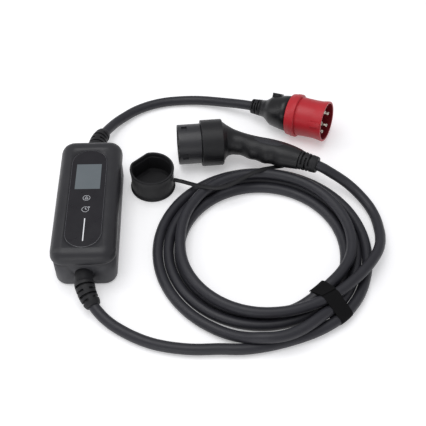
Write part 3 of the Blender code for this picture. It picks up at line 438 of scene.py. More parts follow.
# %% Cable routes
SUPPLY_EXIT = (0.0, 0.1006, 0.0240)
SUPPLY_BOOT = [
    SUPPLY_EXIT, (0.0004, 0.1180, 0.0240), (0.0030, 0.1360, 0.0224), (0.0088, 0.1520, 0.0192)
]
SUPPLY_ROUTE = SUPPLY_BOOT + [
    (0.0165, 0.1690, 0.0150),
    (0.0290, 0.1890, 0.0105),
    (0.0540, 0.2130, 0.0078),
    (0.0850, 0.2275, 0.0072),
    (0.1180, 0.2325, 0.0072),
    (0.1490, 0.2305, 0.0088),
    (0.1790, 0.2215, 0.0130),
    (0.2060, 0.2095, 0.0196),
    (0.2241, 0.2020, 0.0224),
    (0.2310, 0.1986, 0.0234),
]
OUTLET_EXIT = (0.0, -0.1006, 0.0240)
OUTLET_BOOT = [
    OUTLET_EXIT, (0.0014, -0.1140, 0.0230), (0.0062, -0.1280, 0.0192), (0.0135, -0.1405, 0.0146)
]
OUTLET_ROUTE = OUTLET_BOOT + [
    (0.0260, -0.1545, 0.0100),
    (0.0450, -0.1695, 0.0074),
    (0.0760, -0.1866, 0.0070),
    (0.1070, -0.1958, 0.0070),
    (0.1360, -0.1993, 0.0070),
]
LEAD_ROUTE = [
    (0.3780, -0.0405, 0.0135),
    (0.3788, -0.0200, 0.0104),
    (0.3772, -0.0020, 0.0088),
    (0.3720, 0.0145, 0.0095),
    (0.3628, 0.0297, 0.0124),
    (0.3506, 0.0430, 0.0175),
    (0.3360, 0.0535, 0.0235),
    (0.3215, 0.0600, 0.0300),
    (0.3055, 0.0657, 0.0372),
    (0.2960, 0.0705, 0.0370),
    (0.2832, 0.0775, 0.0361),
]
CABLE_STEP = 0.018
LEAD_STEP = 0.016
supply_points = evenly(SUPPLY_ROUTE, CABLE_STEP)
charging_points = evenly(OUTLET_ROUTE, CABLE_STEP) + coil + evenly(LEAD_ROUTE, LEAD_STEP)
print("cables pass through", len(supply_points), "and", len(charging_points), "points")

# %% Cables
supply_cable = cable("supply_cable_sheath", supply_points, CABLE, cable_sheath)
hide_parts("supply_cable")
charging_cable = cable("charging_cable_sheath", charging_points, CABLE, cable_sheath)
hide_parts("outlet_cable", "cable_coil", "connector_lead")

# %% [markdown]
# ## Lofted and turned shapes
# Boots, the handle and the tether are lofts: rings set along a route and bridged two by
# two. The plug's shroud and its pins are turned: a profile spun once round its axis.


# %% Loft helpers
def frames_on(route):
    """At each point of a route, a matrix whose Z runs along it and whose X stays level."""
    found = []
    for k, point in enumerate(route):
        forward = (route[min(k + 1, len(route) - 1)] - route[max(k - 1, 0)]).normalized()
        side = forward.cross(Vector((0, 0, 1))).normalized()
        turn = Matrix((side, side.cross(-forward), forward)).transposed().to_4x4()
        found.append(Matrix.Translation(point) @ turn)
    return found


def ring_at(bm, place, across, upward, points):
    """A ring of edges, an ellipse with these half widths."""
    scaled = place @ Matrix.Diagonal((across, upward, 1.0, 1.0))
    made = bmesh.ops.create_circle(bm, segments=points, radius=1.0, matrix=scaled)
    return list({e for v in made["verts"] for e in v.link_edges})


def skin(bm, rings, closed=True):
    """Bridges each ring to the next, caps both ends, and returns the faces of each band."""
    bands = []
    for first, second in zip(rings, rings[1:]):
        bands.append(bmesh.ops.bridge_loops(bm, edges=first + second)["faces"])
    if closed:
        bmesh.ops.holes_fill(bm, edges=rings[0] + rings[-1], sides=0)
    return bands


def value_at(table, share):
    """A value read from (share, value) pairs, straight between them."""
    for (a, first), (b, second) in zip(table, table[1:]):
        if share <= b:
            return first + (second - first) * (share - a) / max(b - a, 1e-9)
    return table[-1][1]


def along(fine, share):
    """The frame at a share of a route that is given by many even frames."""
    return fine[round(share * (len(fine) - 1))]


# %% [markdown]
# ## Boots
# A boot is moulded round the cable in rubber, and its slots let it bend without a kink. It
# is lofted along the cable's own route. Each slot is a band of faces pushed inwards, and
# ribs stay on two sides of it, turned by 90 degrees from slot to slot.


# %% A slotted boot
RIB_SHARE = 0.28
SLOT_EDGE = 0.00012
BOOT_STEP = 0.0002


def boot(name, route, radii, slots, replaced, slot_depth=0.0034, slot_mm=2.3):
    """A strain relief whose slots leave ribs on alternate sides, so that it can bend."""
    fine = frames_on(evenly(route, BOOT_STEP))
    length = length_of([Vector(p) for p in route])
    half = slot_mm / 1000 / length / 2
    shares = {share for share, _ in radii}
    for middle in slots:
        shares |= {middle - half, middle + half}
    shares = sorted(shares)
    bm = bmesh.new()
    rings = []
    for share in shares:
        radius = value_at(radii, share)
        rings.append(ring_at(bm, along(fine, share), radius, radius, 40))
    bands = skin(bm, rings)
    for k, middle in enumerate(slots):
        band = bands[shares.index(middle - half)]
        inverse = along(fine, middle).inverted()
        open_faces = []
        for face in band:
            at = inverse @ face.calc_center_median()
            rib = abs(at.x) if k % 2 else abs(at.y)
            if rib > RIB_SHARE * value_at(radii, middle):
                open_faces.append(face)
        bmesh.ops.inset_region(
            bm, faces=open_faces, thickness=SLOT_EDGE, depth=-slot_depth, use_even_offset=False
        )
    return make_piece(name, bm, rubber_black, replaced, None, 40.0)


# %% Boots of the control box
BOX_BOOT_RADII = [
    (0.0, 0.0100), (0.02, 0.0112), (0.44, 0.0112), (0.455, 0.0114), (0.47, 0.0124),
    (0.49, 0.0127), (0.90, 0.0108), (0.96, 0.0100), (0.985, 0.0090), (1.0, 0.0074),
]
BOX_BOOT_SLOTS = (0.56, 0.66, 0.76, 0.86)
# Each boot starts this far inside the shell
boot_root = Vector((0.0, 0.009, 0.0))
supply_boot = boot(
    "supply_boot_slotted",
    [Vector(SUPPLY_EXIT) - boot_root] + [Vector(p) for p in SUPPLY_BOOT],
    BOX_BOOT_RADII,
    BOX_BOOT_SLOTS,
    ["supply_boot"],
)
outlet_boot = boot(
    "outlet_boot_slotted",
    [Vector(OUTLET_EXIT) + boot_root] + [Vector(p) for p in OUTLET_BOOT],
    BOX_BOOT_RADII,
    BOX_BOOT_SLOTS,
    ["outlet_boot"],
)

# %% [markdown]
# ## Connector
# The connector's own +Z points out of its nose. One matrix carries every piece that is
# modelled round that axis to its place, so each is made upright at the origin first.


# %% Where the plug and the connector lie
def pointing(heading, rise, roll):
    """The turn that carries +Z to a heading and rise in degrees, rolled about itself first."""
    lean = Matrix.Rotation(math.radians(90 - rise), 4, "Y")
    turn = Matrix.Rotation(math.radians(heading), 4, "Z") @ lean
    return turn @ Matrix.Rotation(math.radians(roll), 4, "Z")


nose_place = Matrix.Translation((0.1154, 0.1132, 0.0331)) @ pointing(185.0, 0.8, 6.0)
plug_place = Matrix.Translation((0.3272, 0.1508, 0.0369)) @ pointing(-26.4, 7.2, 153.0)
print("nose's rear is at", [round(v, 4) for v in nose_place @ Vector((0, 0, -0.062))])


# %% Turned shapes
def turn_profile(bm, profile, steps):
    """A closed or axis-to-axis profile of (radius, height), spun once round Z."""
    verts = [bm.verts.new((r, 0.0, z)) for r, z in profile]
    pairs = list(zip(verts, verts[1:]))
    if profile[0][0] > 0:
        pairs.append((verts[-1], verts[0]))
    edges = [bm.edges.new(pair) for pair in pairs]
    bmesh.ops.spin(
        bm,
        geom=verts + edges,
        cent=(0, 0, 0),
        axis=(0, 0, 1),
        angle=2 * math.pi,
        steps=steps,
        use_merge=True,
    )


def keyed_disc(bm, radius, flat, height, steps=64):
    """A round face with a flat across its -Y side, at a height."""
    made = bmesh.ops.create_circle(
        bm, cap_ends=True, segments=steps, radius=radius, matrix=Matrix.Translation((0, 0, height))
    )
    faces = list({f for v in made["verts"] for f in v.link_faces})
    geom = faces + list({e for f in faces for e in f.edges}) + made["verts"]
    bmesh.ops.bisect_plane(
        bm, geom=geom, dist=1e-7, plane_co=(0, -flat, 0), plane_no=(0, -1, 0), clear_outer=True
    )
    level = [f for f in bm.faces if abs(f.calc_center_median().z - height) < 1e-7]
    return [f for f in level if len(f.verts) > steps // 3]


def push(bm, faces, distance):
    """Extrudes faces along Z and returns the moved ones."""
    made = bmesh.ops.extrude_face_region(bm, geom=faces)
    moved = [v for v in made["geom"] if isinstance(v, bmesh.types.BMVert)]
    bmesh.ops.translate(bm, verts=moved, vec=(0, 0, distance))
    return [f for f in made["geom"] if isinstance(f, bmesh.types.BMFace)]


# %% [markdown]
# ## Nose, collar and handle
# The nose is a thin-walled socket with a key flat, three lock recesses near its mouth, and
# a tower round each contact. The collar behind it is a plain sleeve with crisp edges. The
# handle is lofted along its bend, and its fine ribbed inlays follow its flanks.

# %% Nose
def keyed_ring(bm, radius, flat, height, steps=72):
    """A ring of edges round a circle with a flat across its -Y side."""
    edges = ring_at(bm, Matrix.Translation((0, 0, height)), radius, radius, steps)
    for vert in {v for e in edges for v in e.verts}:
        vert.co.y = max(vert.co.y, -flat)
    return edges


NOSE = 0.02775
NOSE_KEY = 0.02495
NOSE_SECTION = [
    (0.0006, -0.0320), (0.0, -0.0314), (0.0, -0.0130), (0.0, -0.0052), (0.0, -0.0006),
    (0.0006, 0.0), (0.0020, -0.0001), (0.0026, -0.0007), (0.0026, -0.0265),
]
LOCK_HALF_ANGLE = 7.7
LOCK_DEPTH = 0.0020
LOCK_EDGE = 0.0001
bm = bmesh.new()
rings = [keyed_ring(bm, NOSE - inset, NOSE_KEY - inset, z) for inset, z in NOSE_SECTION]
# The recesses lie in the third band, some millimetres behind the mouth
lock_band = skin(bm, rings)[2]
for angle in (180.0, 0.0, 90.0):
    facing = Vector((math.cos(math.radians(angle)), math.sin(math.radians(angle))))
    recess = []
    for face in lock_band:
        outward = face.calc_center_median().to_2d().normalized()
        if math.degrees(outward.angle(facing)) < LOCK_HALF_ANGLE:
            recess.append(face)
    bmesh.ops.inset_region(bm, faces=recess, thickness=LOCK_EDGE, depth=-LOCK_DEPTH)
# The nose's lighter finish paints in its highlight
connector_nose = make_piece(
    "connector_nose_socket", bm, nose_painted_highlight, ["connector_nose"], nose_place, 30.0
)
contact_carrier = smooth_copy("contact_carrier", nylon_black, 30.0)

# %% Collar
# The radius, the distance of the flat from the axis, and the height of each edge
COLLAR_EDGES = [
    (0.0316, 0.0292, -0.0323), (0.0322, 0.0298, -0.0329), (0.0322, 0.0298, -0.0611),
    (0.0310, 0.0286, -0.0623),
]
bm = bmesh.new()
front = keyed_disc(bm, *COLLAR_EDGES[0])
for (radius, flat, z), (next_radius, next_flat, next_z) in zip(COLLAR_EDGES, COLLAR_EDGES[1:]):
    front = push(bm, front, next_z - z)
    widen = (next_radius / radius, next_flat / flat, 1.0)
    bmesh.ops.scale(bm, vec=widen, verts=list(front[0].verts))
connector_collar = make_piece(
    "connector_collar_sleeve", bm, nylon_black, ["connector_collar"], nose_place, 30.0
)

# %% [markdown]
# The handle's sections give the distance behind the nose's face, the sideways bend, half
# the width in the plane of the bend and half the thickness across it. A curve through them
# gives the many rings that a smooth hand-held shape needs.

# %% Handle
SECTIONS = [
    (0.0623, -0.0003, 0.0285, 0.0285),
    (0.0650, -0.0002, 0.0262, 0.0262),
    (0.0690, 0.0002, 0.0220, 0.0225),
    (0.0745, 0.0016, 0.0184, 0.0192),
    (0.0820, 0.0046, 0.0162, 0.0172),
    (0.0925, 0.0106, 0.0160, 0.0163),
    (0.1070, 0.0194, 0.0178, 0.0164),
    (0.1230, 0.0275, 0.0192, 0.0167),
    (0.1390, 0.0355, 0.0184, 0.0164),
    (0.1530, 0.0433, 0.0164, 0.0152),
    (0.1635, 0.0502, 0.0140, 0.0134),
]


def handle_rings(bm):
    """Rings across the handle's spine, as wide as a curve through the sections says."""
    spine = catmull([(0.0, bend, -back) for back, bend, _, _ in SECTIONS], 4)
    widths = catmull([(in_plane, across, 0.0) for _, _, in_plane, across in SECTIONS], 4)
    rings = []
    for k, (point, width) in enumerate(zip(spine, widths)):
        forward = (spine[min(k + 1, len(spine) - 1)] - spine[max(k - 1, 0)]).normalized()
        if k == 0:
            forward = Vector((0, 0, -1))
        across = Vector((1, 0, 0))
        inward = across.cross(forward)
        turn = Matrix((inward, across, forward)).transposed().to_4x4()
        place = Matrix.Translation(point) @ turn
        rings.append(ring_at(bm, place, width.x, width.y, 48))
    return rings


FINGERS_FROM = 0.0780
FINGER_PITCH = 0.0185
FINGER_DEPTH = 0.0030
HANDLE_HALF = 0.018
bends = [(back, bend) for back, bend, _, _ in SECTIONS]
bm = bmesh.new()
skin(bm, handle_rings(bm))
# Three shallow finger hollows run down the inner side of the bend
for vert in bm.verts:
    behind = -vert.co.z - FINGERS_FROM
    if 0.0 < behind < 3 * FINGER_PITCH:
        inner_side = max(0.0, (vert.co.y - value_at(bends, -vert.co.z)) / HANDLE_HALF)
        wave = 0.5 - 0.5 * math.cos(2 * math.pi * behind / FINGER_PITCH)
        vert.co.y -= FINGER_DEPTH * wave * inner_side
connector_handle = make_piece(
    "connector_handle_grip", bm, nylon_black, ["connector_handle"], nose_place, 50.0
)

# %% [markdown]
# Two oval inlays of softer rubber sit in the handle's flanks, with fine ribs across them.
# The ribs are half a millimetre deep, so a wave as a second bump over the grain shows them,
# and the inlays keep the shape of their solids.


# %% Grip inlays
def ribbed(finish, spacing_mm, relief_mm):
    """Fine moulded ribs across a finish, laid by the object's X."""
    tree = finish.node_tree
    place = next(n for n in tree.nodes if n.type == "TEX_COORD").outputs["Object"]
    bump = next(n for n in tree.nodes if n.type == "BUMP")
    # At a scale of 1 the bands of a wave are 2 pi / 20 apart
    scale = 2 * math.pi / 20 / (spacing_mm / 1000)
    ribs = add_node(finish, "ShaderNodeTexWave", {"Scale": scale}, {"Vector": place})
    raised = add_node(
        finish,
        "ShaderNodeBump",
        {"Strength": 0.8, "Distance": relief_mm / 1000},
        {"Height": ribs.outputs["Fac"], "Normal": bump.outputs[0]},
    )
    shader = next(n for n in tree.nodes if n.type == "BSDF_PRINCIPLED")
    link(finish, raised.outputs[0], shader, "Normal")


grip_rubber = moulded("ribbed_grip_rubber", "#303034", "#38383c", 0.6, 0.5, 0.03, 0.3)
ribbed(grip_rubber, spacing_mm=2.4, relief_mm=0.5)
grip_inlay_upper = smooth_copy("grip_inlay_upper", grip_rubber, 40.0)
grip_inlay_lower = smooth_copy("grip_inlay_lower", grip_rubber, 40.0)

# %% Boot of the handle
handle_boot_route = [
    nose_place @ Vector((0.0, bend, -back))
    for back, bend in ((0.1640, 0.0505), (0.1745, 0.0573), (0.1852, 0.0642))
]
connector_boot = boot(
    "connector_boot_slotted",
    handle_boot_route,
    [(0.0, 0.0126), (0.03, 0.0131), (0.90, 0.0114), (0.96, 0.0108), (1.0, 0.0092)],
    (0.17, 0.37, 0.57),
    ["connector_boot"],
    0.0040,
    2.6,
)

# %% [markdown]
# ## Plug
# The plug's shroud is a shell of coloured-through plastic round the pins. Its wall is one
# closed profile spun round the axis, and a small rounded block on it is the key that lets
# the plug into its socket one way round only. The shroud is the same plastic inside, but
# little light gets there, and a darker finish on those faces gives that depth.

# %% Plug
RED_PROFILE = [
    (0.0284, 0.0), (0.0288, -0.0006), (0.0287, -0.0036), (0.0275, -0.0100), (0.0271, -0.0180),
    (0.0274, -0.0320), (0.0279, -0.0380), (0.0274, -0.0386), (0.0274, -0.0402),
    (0.0296, -0.0405), (0.0308, -0.0415), (0.0308, -0.0470), (0.0302, -0.0490),
    (0.0296, -0.0530), (0.0292, -0.0545), (0.0254, -0.0545), (0.0254, -0.0405),
    (0.0259, -0.0006), (0.0263, 0.0),
]
KEY_SIZE = (0.0072, 0.0026, 0.0150)
KEY_SPOT = (0.0, 0.0289, -0.0090)
KEY_ROUND = 0.0005
bm = bmesh.new()
turn_profile(bm, RED_PROFILE, 72)
key = bmesh.ops.create_cube(bm, size=1.0)
bmesh.ops.scale(bm, vec=KEY_SIZE, verts=key["verts"])
bmesh.ops.translate(bm, vec=KEY_SPOT, verts=key["verts"])
edges = list({e for v in key["verts"] for e in v.link_edges})
bmesh.ops.bevel(
    bm, geom=edges, offset=KEY_ROUND, segments=3, profile=0.5, affect="EDGES", material=-1
)
plug_shroud = make_piece(
    "plug_shroud_red", bm, signal_red, ["plug_shroud"], plug_place, 30.0
)
# A face is inside if it is nearer to the axis than the wall and in front of the pins' foot
INSIDE_RADIUS = 0.0261
PIN_FLOOR = -0.0400
# A second slot holds the darker red that paints the shade inside the shroud
plug_shroud.data.materials.append(red_painted_shade_inside)
to_axis = plug_place.inverted()
for face in plug_shroud.data.polygons:
    local = to_axis @ face.center
    inside = local.to_2d().length < INSIDE_RADIUS and local.z > PIN_FLOOR
    face.material_index = 1 if inside else 0
plug_body = smooth_copy("plug_body", body_black, 35.0)
plug_boot = boot(
    "plug_boot_slotted",
    [plug_place @ Vector((0, 0, z)) for z in (-0.1010, -0.1085, -0.1160)],
    [(0.0, 0.0116), (0.05, 0.0119), (0.92, 0.0106), (1.0, 0.0094)],
    (0.20, 0.45, 0.70),
    ["plug_boot"],
    0.0034,
    2.0,
)
# The body that holds the pins gets the deepest painted shade
plug_pin_carrier = smooth_copy("plug_pin_carrier", red_painted_deep_shade, 30.0)

# %% [markdown]
# The five pins stand on one circle. They are turned from brass and plated with nickel, the
# earth pin thicker than the others. In the vehicle connector seven silvered sleeves sit in
# plastic towers instead, and these keep the shape of their solids.

# %% Pins, towers and contacts
contact_names = ("earth", "line_1", "line_2", "line_3", "neutral")
PIN_CIRCLE = 0.0150
PIN_RADIUS = 0.0025
EARTH_PIN_RADIUS = 0.0032


def plug_pin(name, angle, radius):
    """A turned pin with a chamfered tip that is drilled out, so it catches light as a ring."""
    bm = bmesh.new()
    profile = [
        (0.0, PIN_FLOOR), (radius, PIN_FLOOR), (radius, -0.0036), (radius - 0.0005, -0.0026),
        (radius - 0.0009, -0.0024), (radius - 0.0013, -0.0028), (radius - 0.0014, -0.0070),
        (0.0, -0.0072),
    ]
    turn_profile(bm, profile, 32)
    x = PIN_CIRCLE * math.cos(math.radians(angle))
    y = PIN_CIRCLE * math.sin(math.radians(angle))
    place = plug_place @ Matrix.Translation((x, y, 0.0))
    return make_piece(f"pin_{name}", bm, nickel, [f"plug_pin_{name}"], place, 40.0)


plug_pins = [
    plug_pin(n, 90 + 72 * k, EARTH_PIN_RADIUS if n == "earth" else PIN_RADIUS)
    for k, n in enumerate(contact_names)
]
all_contacts = (*contact_names, "pilot", "proximity")
towers = [smooth_copy(f"contact_tower_{n}", nylon_black, 40.0) for n in all_contacts]
sleeves = [smooth_copy(f"contact_{n}", silvered, 40.0) for n in all_contacts]

# %% [markdown]
# ## Cap and tether
# The cap is a cup of soft rubber that lies with its open side up. Its section starts under
# the foot, climbs the outside, turns over the lip and comes down inside to a round floor.
# Its rings have a flat on one side, as the nose has.

# %% Cap
CAP = 0.0300
CAP_KEY = 0.0266
CAP_SECTION = [
    (0.0004, 0.0003), (-0.0008, 0.0010), (-0.0008, 0.0022), (0.0012, 0.0040), (0.0008, 0.0250),
    (0.0004, 0.0318), (0.0, 0.0326), (-0.0002, 0.0350), (0.0004, 0.0360), (0.0022, 0.0359),
    (0.0028, 0.0350), (0.0028, 0.0300), (0.0034, 0.0290), (0.0034, 0.0070), (0.0060, 0.0036),
    (0.0150, 0.0030),
]
cap_place = Matrix.Translation((0.0802, 0.0672, 0.0)) @ Matrix.Rotation(math.radians(222.0), 4, "Z")
bm = bmesh.new()
rings = [keyed_ring(bm, CAP - inset, CAP_KEY - inset, z) for inset, z in CAP_SECTION]
skin(bm, rings)
connector_cap = make_piece(
    "connector_cap_cup", bm, rubber_black, ["connector_cap"], cap_place, 30.0
)

# %% [markdown]
# The tether is a narrow rubber strip from the cap's wall to the handle. It lies over the
# coil, so its route rests on the passes there and comes down on both sides.

# %% Tether
TETHER_HALF_WIDTH = 0.0035
TETHER_HALF_THICKNESS = 0.0012
TETHER = [
    (0.1094, 0.0610, 0.0185),
    (0.1215, 0.0562, 0.0195),
    (0.1360, 0.0470, 0.0235),
    (0.1510, 0.0375, 0.0290),
    (0.1680, 0.0330, 0.0312),
    (0.1850, 0.0380, 0.0314),
    (0.2040, 0.0505, 0.0314),
    (0.2250, 0.0640, 0.0306),
    (0.2440, 0.0755, 0.0235),
    (0.2600, 0.0840, 0.0172),
]
TETHER_STEP = 0.004
tether_route = evenly(TETHER, TETHER_STEP)
bm = bmesh.new()
rings = [
    ring_at(bm, place, TETHER_HALF_WIDTH, TETHER_HALF_THICKNESS, 16)
    for place in frames_on(tether_route)
]
skin(bm, rings)
cap_tether = make_piece("cap_tether_strip", bm, rubber_black, ["cap_tether"])

# %% [markdown]
# ## Tie
# The tie goes round all five passes at one place. Seen along the cable, it is the tightest
# loop round their round sections: straight runs, and an arc over each outermost pass. The
# passes lie a little askew, so the loop is drawn afresh at short steps along the bundle.

# %% Tie
# Woven loops swallow light, so the strap is the blackest and roughest finish
hook_and_loop = moulded("woven_nylon_loop", "#0e0e0f", "#171718", 0.95, 0.7, 0.3, 0.15, 3.0)
TIE_ANGLE = math.radians(-49.0)
TIE_WIDTH = 0.020
STRAP_THICKNESS = 0.0013
# From a cable's middle to the strap's middle
STRAP_REACH = 0.0075
OUTER_TURNS = (0, 4, 3, 2)


def passes_at(t):
    """Where the outermost passes are, this far along the bundle from the tie's middle."""
    found = []
    for turn in OUTER_TURNS:
        at = math.degrees(TIE_ANGLE) + 360 * turn
        found.append(coil_at(at + math.degrees(t / coil_at(at)[0])))
    return found


def tight_loop(passes):
    """Points round the outermost passes, an arc over each and straight between them."""
    loop = []
    for k, (x, z) in enumerate(passes):
        before = Vector((x, z)) - Vector(passes[k - 1])
        after = Vector(passes[(k + 1) % len(passes)]) - Vector((x, z))
        start = math.atan2(-before.x, before.y)
        turn = (math.atan2(-after.x, after.y) - start) % (2 * math.pi)
        for step in range(9):
            angle = start + turn * step / 8
            loop.append((x + STRAP_REACH * math.cos(angle), z + STRAP_REACH * math.sin(angle)))
    return loop


def free_end(passes):
    """The end of the strap, laid over the two upper passes and lifting at its tip."""
    # Which pass it lies over, the angle round that pass, and the distance in millimetres
    spots = [(1, 105, 9.2), (2, 107, 9.2), (2, 124, 9.2), (2, 141, 9.3), (2, 158, 9.7)]
    end = []
    for k, degrees, mm in spots:
        x, z = passes[k]
        angle = math.radians(degrees)
        end.append((x + mm / 1000 * math.cos(angle), z + mm / 1000 * math.sin(angle)))
    return end


def strap_piece(name, outline_at, closed, replaced):
    """Skins the outlines at short steps along the bundle's curve and thickens the band."""
    bm = bmesh.new()
    steps = 8
    rows = []
    for step in range(steps + 1):
        t = TIE_WIDTH * (step / steps - 0.5)
        outline = outline_at(passes_at(t))
        # The bundle is round the coil, so it falls back from its tangent by t * t / 2x
        rows.append([bm.verts.new((x - t * t / (2 * x), t, z)) for x, z in outline])
    rings = []
    for row in rows:
        pairs = list(zip(row, row[1:])) + ([(row[-1], row[0])] if closed else [])
        rings.append([bm.edges.new(pair) for pair in pairs])
    skin(bm, rings, False)
    bmesh.ops.recalc_face_normals(bm, faces=bm.faces)
    bmesh.ops.solidify(bm, geom=list(bm.faces), thickness=STRAP_THICKNESS)
    return make_piece(name, bm, hook_and_loop, replaced, tie_place, 50.0)


tie_place = Matrix.Translation(COIL_CENTRE) @ Matrix.Rotation(TIE_ANGLE, 4, "Z")
tie = strap_piece("hook_and_loop_strap", tight_loop, True, ["hook_and_loop_tie"])
tie_flap = strap_piece("hook_and_loop_flap", free_end, False, ())

# %% [markdown]
# ## Shells
# The box is two moulded halves, a cover over a tub. Their solids already carry every
# fillet, so each keeps its shape, and merging its loose triangles lets it shade smoothly.

# %% Shells
smooth_copy("upper_shell", case_black, 40.0)
# The tub's lighter grey is painted light from the floor and the front
smooth_copy("lower_shell", tub_grey_painted_light, 40.0)

# %% [markdown]
# ## Fascia
# The fascia is one smooth sheet with round ends, let into the top shell. The window over
# the display, the two signs and the light bar are printed or moulded into it, so they
# stand at most a tenth of a millimetre proud of it here.

# %% Fascia sheet, window and light bar
FASCIA_FOOT = 0.0600
FASCIA_TOP = 0.0613
FASCIA_RIM = 0.0005
FASCIA_WIDTH = 0.046
FASCIA_LENGTH = 0.1634
FASCIA_MIDDLE = -0.0042


def strip_with_round_ends(bm, width, length, middle, low, high, rim):
    """A flat strip with half-round ends and a bevelled upper rim."""
    at = Matrix.Translation((0.0, 0.0, low))
    made = bmesh.ops.create_circle(bm, cap_ends=True, segments=64, radius=width / 2, matrix=at)
    for vert in made["verts"]:
        vert.co.y += middle + math.copysign(length / 2 - width / 2, vert.co.y)
    top = push(bm, list({f for v in made["verts"] for f in v.link_faces}), high - low)
    edges = list(top[0].edges)
    bmesh.ops.bevel(
        bm, geom=edges, offset=rim, segments=3, profile=0.5, affect="EDGES", material=-1
    )


def plate(bm, size, centre, rim):
    """A thin plate with round corners."""
    made = bmesh.ops.create_cube(bm, size=1.0)
    bmesh.ops.scale(bm, vec=size, verts=made["verts"])
    bmesh.ops.translate(bm, vec=centre, verts=made["verts"])
    corners = [
        e for v in made["verts"] for e in v.link_edges
        if abs(e.verts[0].co.z - e.verts[1].co.z) > size[2] / 2
    ]
    edges = list(set(corners))
    bmesh.ops.bevel(
        bm, geom=edges, offset=rim, segments=4, profile=0.5, affect="EDGES", material=-1
    )


bm = bmesh.new()
strip_with_round_ends(
    bm, FASCIA_WIDTH, FASCIA_LENGTH, FASCIA_MIDDLE, FASCIA_FOOT, FASCIA_TOP, FASCIA_RIM
)
fascia_panel = make_piece(
    "fascia_sheet", bm, fascia_black, ["fascia_panel"], None, 12.0
)
# The bevelled rim of the sheet gets the lighter grey, a painted highlight as a thin line
fascia_panel.data.materials.append(rim_painted_highlight)
for face in fascia_panel.data.polygons:
    face.material_index = 1 if 0.1 < face.normal.z < 0.99 else 0
WINDOW_SIZE = (0.0324, 0.0435, 0.0004)
LIGHT_BAR_SIZE = (0.0013, 0.0360, 0.0004)
bm = bmesh.new()
plate(bm, WINDOW_SIZE, (0.0, 0.0302, FASCIA_TOP - 0.00015), 0.0004)
make_piece("display_pane", bm, window_glass, ["display_window"])
bm = bmesh.new()
plate(bm, LIGHT_BAR_SIZE, (0.0006, -0.0585, FASCIA_TOP - 0.0001), 0.0005)
make_piece("light_bar_strip", bm, opal_acrylic, ["light_bar"])


# %% [markdown]
# The upper sign is a ring round four short bars, the lower one a clock with a mark beside
# it. Both are simple signs of this model's own. A ring is spun from its section, because
# rings that lie almost in one plane don't bridge well.

# %% Signs on the fascia
SIGN_TOP = 0.00006
SIGN_FOOT = -0.0001


def flat_ring(bm, centre, outer, inner, stretch):
    """A thin raised ring, spun from its section."""
    before = set(bm.verts)
    section = [(outer, SIGN_FOOT), (outer, SIGN_TOP), (inner, SIGN_TOP), (inner, SIGN_FOOT)]
    turn_profile(bm, section, 32)
    fresh = [v for v in bm.verts if v not in before]
    bmesh.ops.scale(bm, vec=(1.0, stretch, 1.0), verts=fresh)
    bmesh.ops.translate(bm, vec=(*centre, FASCIA_TOP), verts=fresh)


def flat_bar(bm, start, end, width):
    """A thin raised bar between two points."""
    run = end - start
    made = bmesh.ops.create_cube(bm, size=1.0)
    size = (run.length + width, width, SIGN_TOP - SIGN_FOOT)
    bmesh.ops.scale(bm, vec=size, verts=made["verts"])
    middle = (start + end) / 2
    turn = Matrix.Rotation(math.atan2(run.y, run.x), 4, "Z")
    height = FASCIA_TOP + (SIGN_TOP + SIGN_FOOT) / 2
    place = Matrix.Translation((middle.x, middle.y, height)) @ turn
    bmesh.ops.transform(bm, matrix=place, verts=made["verts"])


def sign(name, centre, ring, bars):
    """A ring round a centre, and bars given by their two ends from it and their width."""
    bm = bmesh.new()
    flat_ring(bm, centre, *ring)
    for start, end, width in bars:
        flat_bar(bm, Vector(centre) + Vector(start), Vector(centre) + Vector(end), width)
    make_piece(name, bm, icon_ink)


BATTERY_BARS = [
    ((-0.0016, -0.0002), (-0.0010, -0.0002), 0.0009),
    ((0.0010, -0.0002), (0.0016, -0.0002), 0.0009),
    ((-0.0020, -0.0018), (0.0020, -0.0018), 0.0006),
    ((-0.0006, 0.0016), (0.0006, 0.0016), 0.0008),
]
CLOCK_BARS = [
    ((0.0, 0.0), (0.0, 0.0024), 0.0007),
    ((0.0, 0.0), (0.0018, 0.0), 0.0007),
    ((0.0040, 0.0040), (0.0050, 0.0034), 0.0010),
]
sign("battery_sign", (0.0003, -0.0068), (0.0047, 0.0042, 0.92), BATTERY_BARS)
sign("clock_sign", (0.0001, -0.0258), (0.0045, 0.0040, 1.0), CLOCK_BARS)

# %% [markdown]
# ## Inside the box
# Boards, relays and the seal are hidden inside the shells, and the screws sit under them,
# so they stay the plain solids that they are. Each still gets the finish of its real
# material, for whoever opens the box.

# %% Inner nodes keep their shape and get their finish
INNER = {
    "shell_seal": seal_grey,
    "leakage_sensor": seal_grey,
    "control_board": board_green,
    "power_board": board_green,
    "power_supply": nylon_black,
    "relay_1": relay_blue,
    "relay_2": relay_blue,
    "display_module": nylon_black,
}
for k in range(1, 5):
    INNER[f"board_spacer_{k}"] = nickel
    INNER[f"case_screw_{k}"] = screw_steel
for name, finish in INNER.items():
    nodes[name].data.materials.clear()
    nodes[name].data.materials.append(finish)
print("inner nodes finished:", len(INNER))

# %% [markdown]
# ## Cords
# Both cables and the tether can be laid another way on the real object.

# %% [markdown]
# ## Floor and light
# The charger lies on a plain white sweep. A broad lamp overhead gives the cables their soft
# highlights, a narrow one on the left lights the box's shoulder, a low one in front lifts
# the near faces, and a pale world fills the shadows.

# %% Floor
FLOOR_HALF = 4.0
FLOOR_GLOW = 0.30
bm = bmesh.new()
bmesh.ops.create_grid(bm, x_segments=2, y_segments=2, size=FLOOR_HALF)
floor_mesh = bpy.data.meshes.new("floor")
bm.to_mesh(floor_mesh)
bm.free()
floor = bpy.data.objects.new("floor", floor_mesh)
bpy.context.scene.collection.objects.link(floor)
floor_paper = moulded("matt_paper", "#f4f4f5", "#f6f6f7", 0.90, 2.0, 0.01, 0.1)
floor_mesh.materials.append(floor_paper)
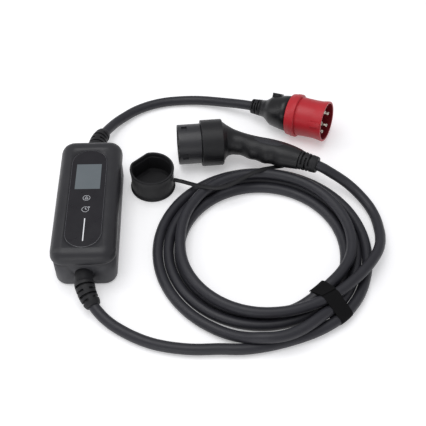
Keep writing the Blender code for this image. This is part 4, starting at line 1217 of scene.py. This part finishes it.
# The camera, and what mirrors or lets through the floor, sees it a little lighter, so that
# it reads as a white sweep while the shadows stay
rays = add_node(floor_paper, "ShaderNodeLightPath").outputs
seen = rays["Is Camera Ray"]
for kind in ("Is Glossy Ray", "Is Transmission Ray"):
    inputs = {0: seen, 1: rays[kind]}
    seen = add_node(floor_paper, "ShaderNodeMath", None, inputs, operation="MAXIMUM").outputs[0]
glow = add_node(
    floor_paper, "ShaderNodeMath", {1: FLOOR_GLOW}, {0: seen}, operation="MULTIPLY"
)
paper_shader = next(n for n in floor_paper.node_tree.nodes if n.type == "BSDF_PRINCIPLED")
paper_shader.inputs["Emission Color"].default_value = (1.0, 1.0, 1.0, 1.0)
link(floor_paper, glow.outputs[0], paper_shader, "Emission Strength")
print("floor reaches", FLOOR_HALF, "m each way")


# %% Lamps and world
def lamp(name, place, aim_at, size, power):
    """A rectangular lamp at a place, turned to the point that it lights."""
    data = bpy.data.lights.new(name, "AREA")
    data.shape = "RECTANGLE"
    data.size, data.size_y = size
    data.energy = power
    made = bpy.data.objects.new(name, data)
    made.location = place
    made.rotation_euler = (Vector(aim_at) - Vector(place)).to_track_quat("-Z", "Y").to_euler()
    bpy.context.scene.collection.objects.link(made)


middle = (0.17, 0.02, 0.0)
near_side = (0.10, 0.0, 0.03)
lamp("overhead", (-0.10, 0.05, 1.50), middle, (1.2, 0.9), 9.5)
lamp("left_strip", (-1.00, 0.05, 0.75), middle, (0.25, 1.3), 3.0)
lamp("front_fill", (-0.25, -1.40, 0.40), near_side, (1.0, 0.4), 3.0)
WORLD_STRENGTH = 0.50
world = bpy.data.worlds.new("studio")
bpy.context.scene.world = world
world.use_nodes = True
background = world.node_tree.nodes["Background"]
background.inputs["Color"].default_value = linear("#fbfbff")
background.inputs["Strength"].default_value = WORLD_STRENGTH
bpy.context.scene.view_settings.view_transform = "Standard"
print("lamps:", len(bpy.data.lights))

# %% [markdown]
# ## Update
# Last, the view layer is brought up to date.

# %% Bring the scene up to date
bpy.context.view_layer.update()
